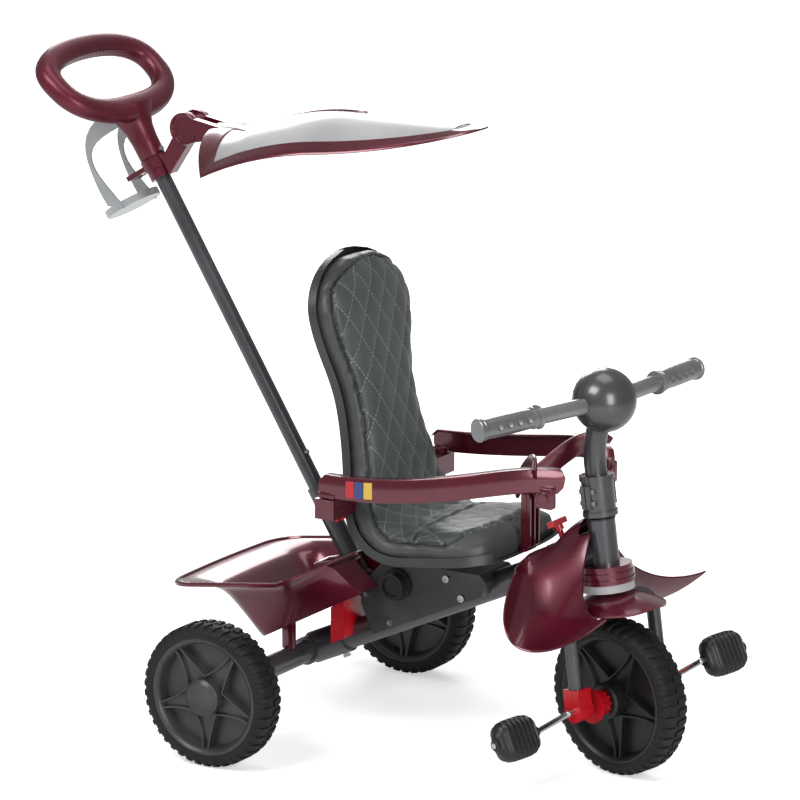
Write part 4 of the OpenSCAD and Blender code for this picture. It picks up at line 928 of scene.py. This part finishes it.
bm = bmesh.new()
rows = []
for i in range(120):
    a = 2 * math.pi * i / 120
    thick = RING_T / 2 * (1 + 0.22 * max(0, math.cos(a)) ** 3)
    rows.append([ring_point(a, thick * (1 - power(math.cos(b), 0.8)), RING_T * 0.43 * power(math.sin(b), 0.86))
                 for b in (2 * math.pi * j / 28 for j in range(28))])
loft(bm, rows, around=True, along=True)
bmesh.ops.transform(bm, matrix=RING_IN_ROW, verts=bm.verts)
neck = Matrix.Translation(ROD_FOOT) @ turn(-ROD_LEAN, "Y")
neck_outline = [(11.2, 16.4), (17.2, 16.4), (18.4, 18), (18.8, 44), (20.5, 60), (25, 74), (33, 86), (36, 91),
                (11.2, 91)]
lathe(bm, [(r, ROD_LEN + z) for r, z in neck_outline], steps=48, place=neck @ turn(90, "X"))
dress(new_piece("ring_grip", bm, "push_rod", ["ring_handle"]), "maroon_satin")

print("ring made")

# %% Stitches
bm = bmesh.new()
for i in range(96):
    a = 2 * math.pi * (i + 0.5) / 96
    for lift in (-5, 5):
        p, q = ring_point(a - 0.016, RING_T - 0.9, lift), ring_point(a + 0.016, RING_T - 0.9, lift)
        rod(bm, p, q, 1.1, steps=6)
dress(new_piece("ring_stitches", bm, "push_rod", (), RING), "maroon_gloss")
print("handle made")

# %% [markdown]
# ## Basket
# The tub is injection moulded: a sloping floor over the main tube, steep walls, and a wide flange
# with a rolled edge. It is notched in front for the push rod and the housing. One outline that
# changes with height gives the outer wall, the lip and the inner wall as a single closed skin.

# %% Basket outline
FLOOR_REAR, FLOOR_FRONT = Vector((-30, 132)), Vector((136, 221))
RIM_REAR, RIM_FRONT = Vector((-152, 203)), Vector((92, 258))
ROD_NOTCH, BODY_NOTCH = (14, 21.1), (98, 46)
WALL = 2.6


def tub_outline(t, inset=0.0):
    """Points round the tub at height share t, from the right front corner round the rear."""
    flare = t ** 12
    rear_x = FLOOR_REAR.x - 78 * t - 44 * flare + inset
    front_x = FLOOR_FRONT.x + (RIM_FRONT.x - FLOOR_FRONT.x) * t - inset
    half_rear = 96 + 24 * t + 24 * flare - inset
    half_front = 96 + 6 * t + 10 * flare - inset
    corner = 18 + 26 * t

    def height(x):
        if t == 0:
            return FLOOR_REAR.y + (x - FLOOR_REAR.x) * (FLOOR_FRONT.y - FLOOR_REAR.y) / (FLOOR_FRONT.x - FLOOR_REAR.x)
        low = FLOOR_REAR.y + max(0, x - FLOOR_REAR.x) * 0.536
        high = RIM_REAR.y + (x - RIM_REAR.x) * 0.14 + max(0, x - 30) * 0.33
        return low + (high - low) * t

    def half(x):
        u = max(0, min(1, (x - 30) / (front_x - 30)))
        return half_rear + (half_front - half_rear) * u * u

    right = []
    for i in range(17):
        x = front_x + (rear_x + corner - front_x) * i / 16
        right.append(Vector((x, -half(x), 0)))
    for i in range(1, 9):
        a = math.pi / 2 * i / 8
        right.append(Vector((rear_x + corner - corner * math.sin(a),
                             -(half_rear - corner) - corner * math.cos(a), 0)))
    rear_side = [Vector((rear_x - 4 * math.cos(math.pi / 2 * k / 8) * t, -(half_rear - corner) * k / 8, 0))
                 for k in range(7, -8, -1)]
    left = [Vector((p.x, -p.y, 0)) for p in reversed(right)]
    rod_x, rod_y = ROD_NOTCH[0] - inset, ROD_NOTCH[1] + inset
    body_x, body_y = min(BODY_NOTCH[0], front_x) - inset, BODY_NOTCH[1] + inset
    steps = [(front_x, half_front * 0.8), (front_x, body_y + 2), (body_x, body_y), (body_x - 4, rod_y + 6)]
    steps += [(body_x - 14 - 8 * k, rod_y) for k in range(6)] + [(rod_x + 6, rod_y), (rod_x, rod_y - 6)]
    notch = [Vector((x, y, 0)) for x, y in steps] + [Vector((x, -y, 0)) for x, y in reversed(steps)]
    ring = right + rear_side + left + notch
    for p in ring:
        p.z = height(p.x)
    return ring


print("points round the tub:", len(tub_outline(0.5)))

# %% Tub
bm = bmesh.new()
levels = [0, 0.04, 0.12, 0.25, 0.4, 0.55, 0.7, 0.8, 0.86, 0.91, 0.95, 0.98]
outer = [tub_outline(t) for t in levels]
inner = [[p + Vector((0, 0, WALL)) for p in tub_outline(t, WALL)] for t in levels[::-1]]
lip = ((-3.2, -2), (-3.6, 1.5), (-1.6, 3.6), (1.6, 3.6), (2.8, 1.0))
rolled = [[p + Vector((0, 0, rise)) for p in tub_outline(1.0, inset)] for inset, rise in lip]
loft(bm, outer + rolled + inner, around=True, caps=True)
bmesh.ops.triangulate(bm, faces=[f for f in bm.faces if len(f.verts) > 4])
for s in (-1, 1):
    block(bm, (18, 10, 38), Matrix.Translation((0, s * 65, 134)), 1.5)
dress(new_piece("rear_tub", bm, "frame", ["basket"]), "maroon_gloss")
print("basket made")

# %% [markdown]
# ## Front cover and fender
# Two leg shields hang from a saddle over the main tube. Each is a bent plate, best made from four
# curves that pull a smooth surface between them, with its thickness along its own normals. The
# fender is a crowned skirt round the steerer.

# %% Front cover
SHIELD = [[(362, -22, 292), (395, -26, 308), (430, -26, 328), (456, -24, 334)],
          [(366, -60, 290), (376, -66, 266), (430, -66, 262), (452, -56, 266)],
          [(382, -104, 300), (362, -108, 205), (440, -108, 198), (490, -106, 232)],
          [(404, -138, 300), (350, -142, 180), (440, -142, 160), (545, -138, 256)]]


def shield_point(u, v):
    """A point on the right shield, u down it and v along it."""
    return bezier([bezier(row, v) for row in SHIELD], u)


def shield_normal(u, v):
    """The way out of the shield at a point."""
    du = shield_point(min(1, u + 0.02), v) - shield_point(max(0, u - 0.02), v)
    dv = shield_point(u, min(1, v + 0.02)) - shield_point(u, max(0, v - 0.02))
    return du.cross(dv).normalized()


def tube_z(x):
    """The height of the main tube's axis."""
    return REAR_R + x * math.tan(math.radians(24.5))


print("shield top at", [round(v) for v in shield_point(0, 1)])

# %% Shields and saddle
bm = bmesh.new()
for s in (-1, 1):
    mirror = Matrix.Diagonal((1, -s, 1, 1))
    rows = []
    for i in range(37):
        v = i / 36
        face = [shield_point(j / 36, v) for j in range(37)]
        rear = [shield_point(j / 36, v) + 2.6 * shield_normal(j / 36, v) for j in range(36, -1, -1)]
        mid = [(face[-1] + rear[0]) / 2 + (face[-1] - face[-2]).normalized() * 1.3]
        rows.append([mirror @ p for p in face + mid + rear])
    loft(bm, rows, around=True, caps=True)
section = []
for i in range(25):
    a = math.pi * i / 24
    section.append((-27 * math.cos(a), math.sin(a)))
rows = []
for t in [i / 16 for i in range(17)]:
    x = 356 + 82 * t
    top = 20 + 32 * (0.3 + 0.7 * (1 - (1 - max(0, (t - 0.45) / 0.55)) ** 2)) if t > 0.45 else 20 + 9.6 + 2 * t
    rows.append([Vector((x, y, tube_z(x) + max(6, 6 + (top - 6) * h ** 0.35))) for y, h in section])
loft(bm, rows, caps=False)
dress(new_piece("front_cover", bm, "frame", ["front_wings"], smooth=50), "maroon_gloss")

print("front cover made")

# %% Fender
bm = bmesh.new()
outer, under = [], []
for i in range(72):
    a = 2 * math.pi * i / 72
    c, s = math.cos(a), math.sin(a)
    edge = Vector(((84 if c > 0 else 52) * c, 66 * s))
    start = Vector((13.7 * c, 13.7 * s))
    top = []
    for k in [j / 12 for j in range(13)]:
        p = start + (edge - start) * k
        top.append(Vector((p.x, p.y, 146 - 15 * k * k - (4 * k if abs(s) > 0.5 else 8 * k * abs(s)))))
    outer.append(top + [top[-1] + Vector((0, 0, -3))] + [p - Vector((0, 0, 2.4)) for p in reversed(top[:-1])])
loft(bm, outer, around=True, along=True)
dress(new_piece("crowned_fender", bm, "steering", ["front_fender"], STEERING), "maroon_gloss")
print("fender made")

# %% [markdown]
# ## Armrests
# A safety arm is a moulded angle: a tall outer face with a flange turned in at its top, bent round
# the child in one sweep. A strap arches from its tip to the crotch post, and a block with a round
# boss holds the latch. The section is carried along a curve, square to it at every station. Three
# plain colour blocks are printed near the front of each arm's hinge.

# %% Armrests
ARM_HALF, ARM_TALL = 150, 33
ARM_Z = 366.5
ARM_MID = ARM_Z + ARM_TALL / 2
POST_X = 341.6
ARM_CURVE = [(106, -ARM_HALF, ARM_MID), (210, -ARM_HALF - 6, ARM_MID), (330, -ARM_HALF - 8, ARM_MID + 18),
             (386, -ARM_HALF + 34, ARM_MID + 46), (438, -66, ARM_MID + 30)]
ARCH_CURVE = [(412, -98, ARM_MID + 42), (398, -70, ARM_MID + 68), (372, -52, ARM_MID + 38),
              (POST_X - 6, -17.5, ARM_MID - 4)]
LATCH = Vector((420, -84, ARM_MID + 12))


BAND_SECTION = [(3, -15), (3.4, 0), (3, 14), (1.4, 16.5), (-11, 16.5), (-12.4, 15.4), (-11, 13.6), (-3, 12.6),
                (-3, -15), (-1.5, -16.5), (1.5, -16.5)]


def strap(bm, curve, outline, steps, mirror, ends=0.0):
    """A band along a curve with its section as (outwards, up) pairs; ends rounds off its height."""
    rows = []
    for i in range(steps + 1):
        t = i / steps
        p = bezier(curve, t)
        way = (bezier(curve, min(1, t + 0.01)) - bezier(curve, max(0, t - 0.01))).normalized()
        out = Vector((way.y, -way.x, 0)).normalized()
        up = out.cross(way)
        tip = math.sqrt(max(0.2, 1 - max(0, (abs(2 * t - 1) - 1 + ends) / ends) ** 2)) if ends else 1
        rows.append([mirror @ (p + out * a + up * b * tip) for a, b in outline])
    loft(bm, rows, around=True, caps=True)


for side_name, s in (("right", 1), ("left", -1)):
    mirror = Matrix.Diagonal((1, s, 1, 1))
    bm = bmesh.new()
    strap(bm, ARM_CURVE, BAND_SECTION, 48, mirror, 0.05)
    strap(bm, ARCH_CURVE, rounded_box(5, 27, 2), 30, mirror)
    rod(bm, (118, -s * 148, 344), (118, -s * 148, ARM_Z + 4), 5)
    block(bm, (26, 14, 8), mirror @ Matrix.Translation((119, -149, ARM_Z + 4)), 1.5)
    block(bm, (26, 14, 30), mirror @ Matrix.Translation(LATCH + Vector((0, 0, -1))), 3, 3)
    boss = mirror @ Matrix.Translation(LATCH + Vector((0, -7, -2)))
    lathe(bm, [(6, -0.5), (6, -1.6), (8.5, -1.6), (9.5, -0.8), (9.5, 0.5), (6, 0.5)], steps=40, place=boss)
    dress(new_piece(f"safety_arm_{side_name}", bm, f"armrest_{side_name}",
                    [f"armrest_{side_name}"]), "maroon_gloss")

print("arms made")

# %% Colour blocks
BLOCK_COLOURS = {"red": ("b3202c", "c22a35"), "blue": ("2a3f74", "334a82"), "yellow": ("c9a640", "d6b54f")}
for number, (tint, (low, high)) in enumerate(BLOCK_COLOURS.items()):
    FINISHES[tint] = finish(f"{tint} print", low, high, rough=(0.3, 0.4))
    for side_name, s in (("right", 1), ("left", -1)):
        bm = bmesh.new()
        rows = []
        for i in range(4):
            t = 0.105 + 0.034 * number + 0.031 * i / 3
            p = bezier(ARM_CURVE, t)
            way = bezier(ARM_CURVE, t + 0.01) - bezier(ARM_CURVE, t - 0.01)
            out = Vector((way.y, -way.x, 0)).normalized()
            rows.append([Matrix.Diagonal((1, s, 1, 1)) @ (p + out * a + Vector((0, 0, b))) for a, b in (
                (3.1, -11.5), (3.5, -11.5), (3.7, 0), (3.5, 11.5), (3.1, 11.5), (3.3, 0))])
        loft(bm, rows, around=True, caps=True)
        dress(new_piece(f"arm_block_{tint}_{side_name}", bm, f"armrest_{side_name}"), tint)
print("colour blocks:", len(BLOCK_COLOURS))

# %% [markdown]
# ## Handlebar grips and ball
# The grips are moulded over the bar, with flanges, a ring and four finger dimples. Spinning the
# outline would give no dimples, so the grip is a skin round the bar whose radius dips at each one.
# The ball at the middle has a fine parting seam and a few vent slots at its rear. The slots are not cut:
# thin black bars laid on the surface stand for them, and their black is painted shade of the hollow inside.

# %% Grips
BAR_MID, BAR_HALF, BALL_X, BAR_H, SWEEP = 46, 212, 30, 410, 10
BAR_SIDE = BAR_HALF - BAR_MID
bm = bmesh.new()
for s in (1, -1):
    mirror = Matrix.Diagonal((1, s, 1, 1))
    place = mirror @ Matrix.Translation((BALL_X, -BAR_MID, BAR_H)) @ turn(-SWEEP, "Z")
    start = BAR_SIDE - 97
    outline = [(11.2, 0), (15, 0), (16.5, 1), (16.5, 3), (15, 4), (13.2, 5), (13.2, 8), (15, 9), (15, 12), (13.4, 13)]
    outline += [(13.4 + 0.7 * math.sin(math.pi * k / 50), 13.5 + 1.5 * k) for k in range(51)]
    outline += [(14.4, 90), (14.4, 92), (13.4, 93), (13.4, 95), (15, 96), (16, 97.5), (16, 99), (15, 100), (0.3, 100),
                (0.3, 98.6), (11.2, 98.6)]
    rows = []
    for i in range(80):
        a = 2 * math.pi * (i - 40) / 80
        row = []
        for r, y in outline:
            dent = sum(2.6 * groove(math.hypot(y - spot, 13 * a), 4.5) for spot in (24, 40, 56, 72))
            row.append(place @ Vector(((r - (dent if r > 12 else 0)) * math.cos(a), -(start + y),
                                       (r - (dent if r > 12 else 0)) * math.sin(a))))
        rows.append(row)
    loft(bm, rows, around=True, along=True)
dress(new_piece("dimpled_grips", bm, "steering", ["grips"], STEERING), "silver_grey_metallic")

print("grips made")

# %% Ball details
bm = bmesh.new()
ball = Matrix.Translation((BALL_X, 0, BAR_H))
rows = [[ball @ Vector((0.25, r * math.cos(a), r * math.sin(a))) for r in (43.0, 43.75)]
        for a in (2 * math.pi * i / 72 for i in range(72))]
loft(bm, rows, along=True)
dress(new_piece("ball_seam", bm, "steering", (), STEERING), "black_nylon")
bm = bmesh.new()
# The vent slots are thin black bars laid on the ball, not openings: their black is painted shade for the dark inside
# of each slot.
for s in (-1, 1):
    for k in (-2, -1, 0, 1, 2):
        place = ball @ turn(180, "Z") @ turn(s * 38, "Z") @ turn(-14 * k - 8, "Y")
        block(bm, (1.4, 11 - abs(k) * 1.6, 3), place @ Matrix.Translation((43.1, 0, 0)), 0.6, 1)
dress(new_piece("ball_slot_shade_bars", bm, "steering", (), STEERING), "black_nylon")
print("ball details made")
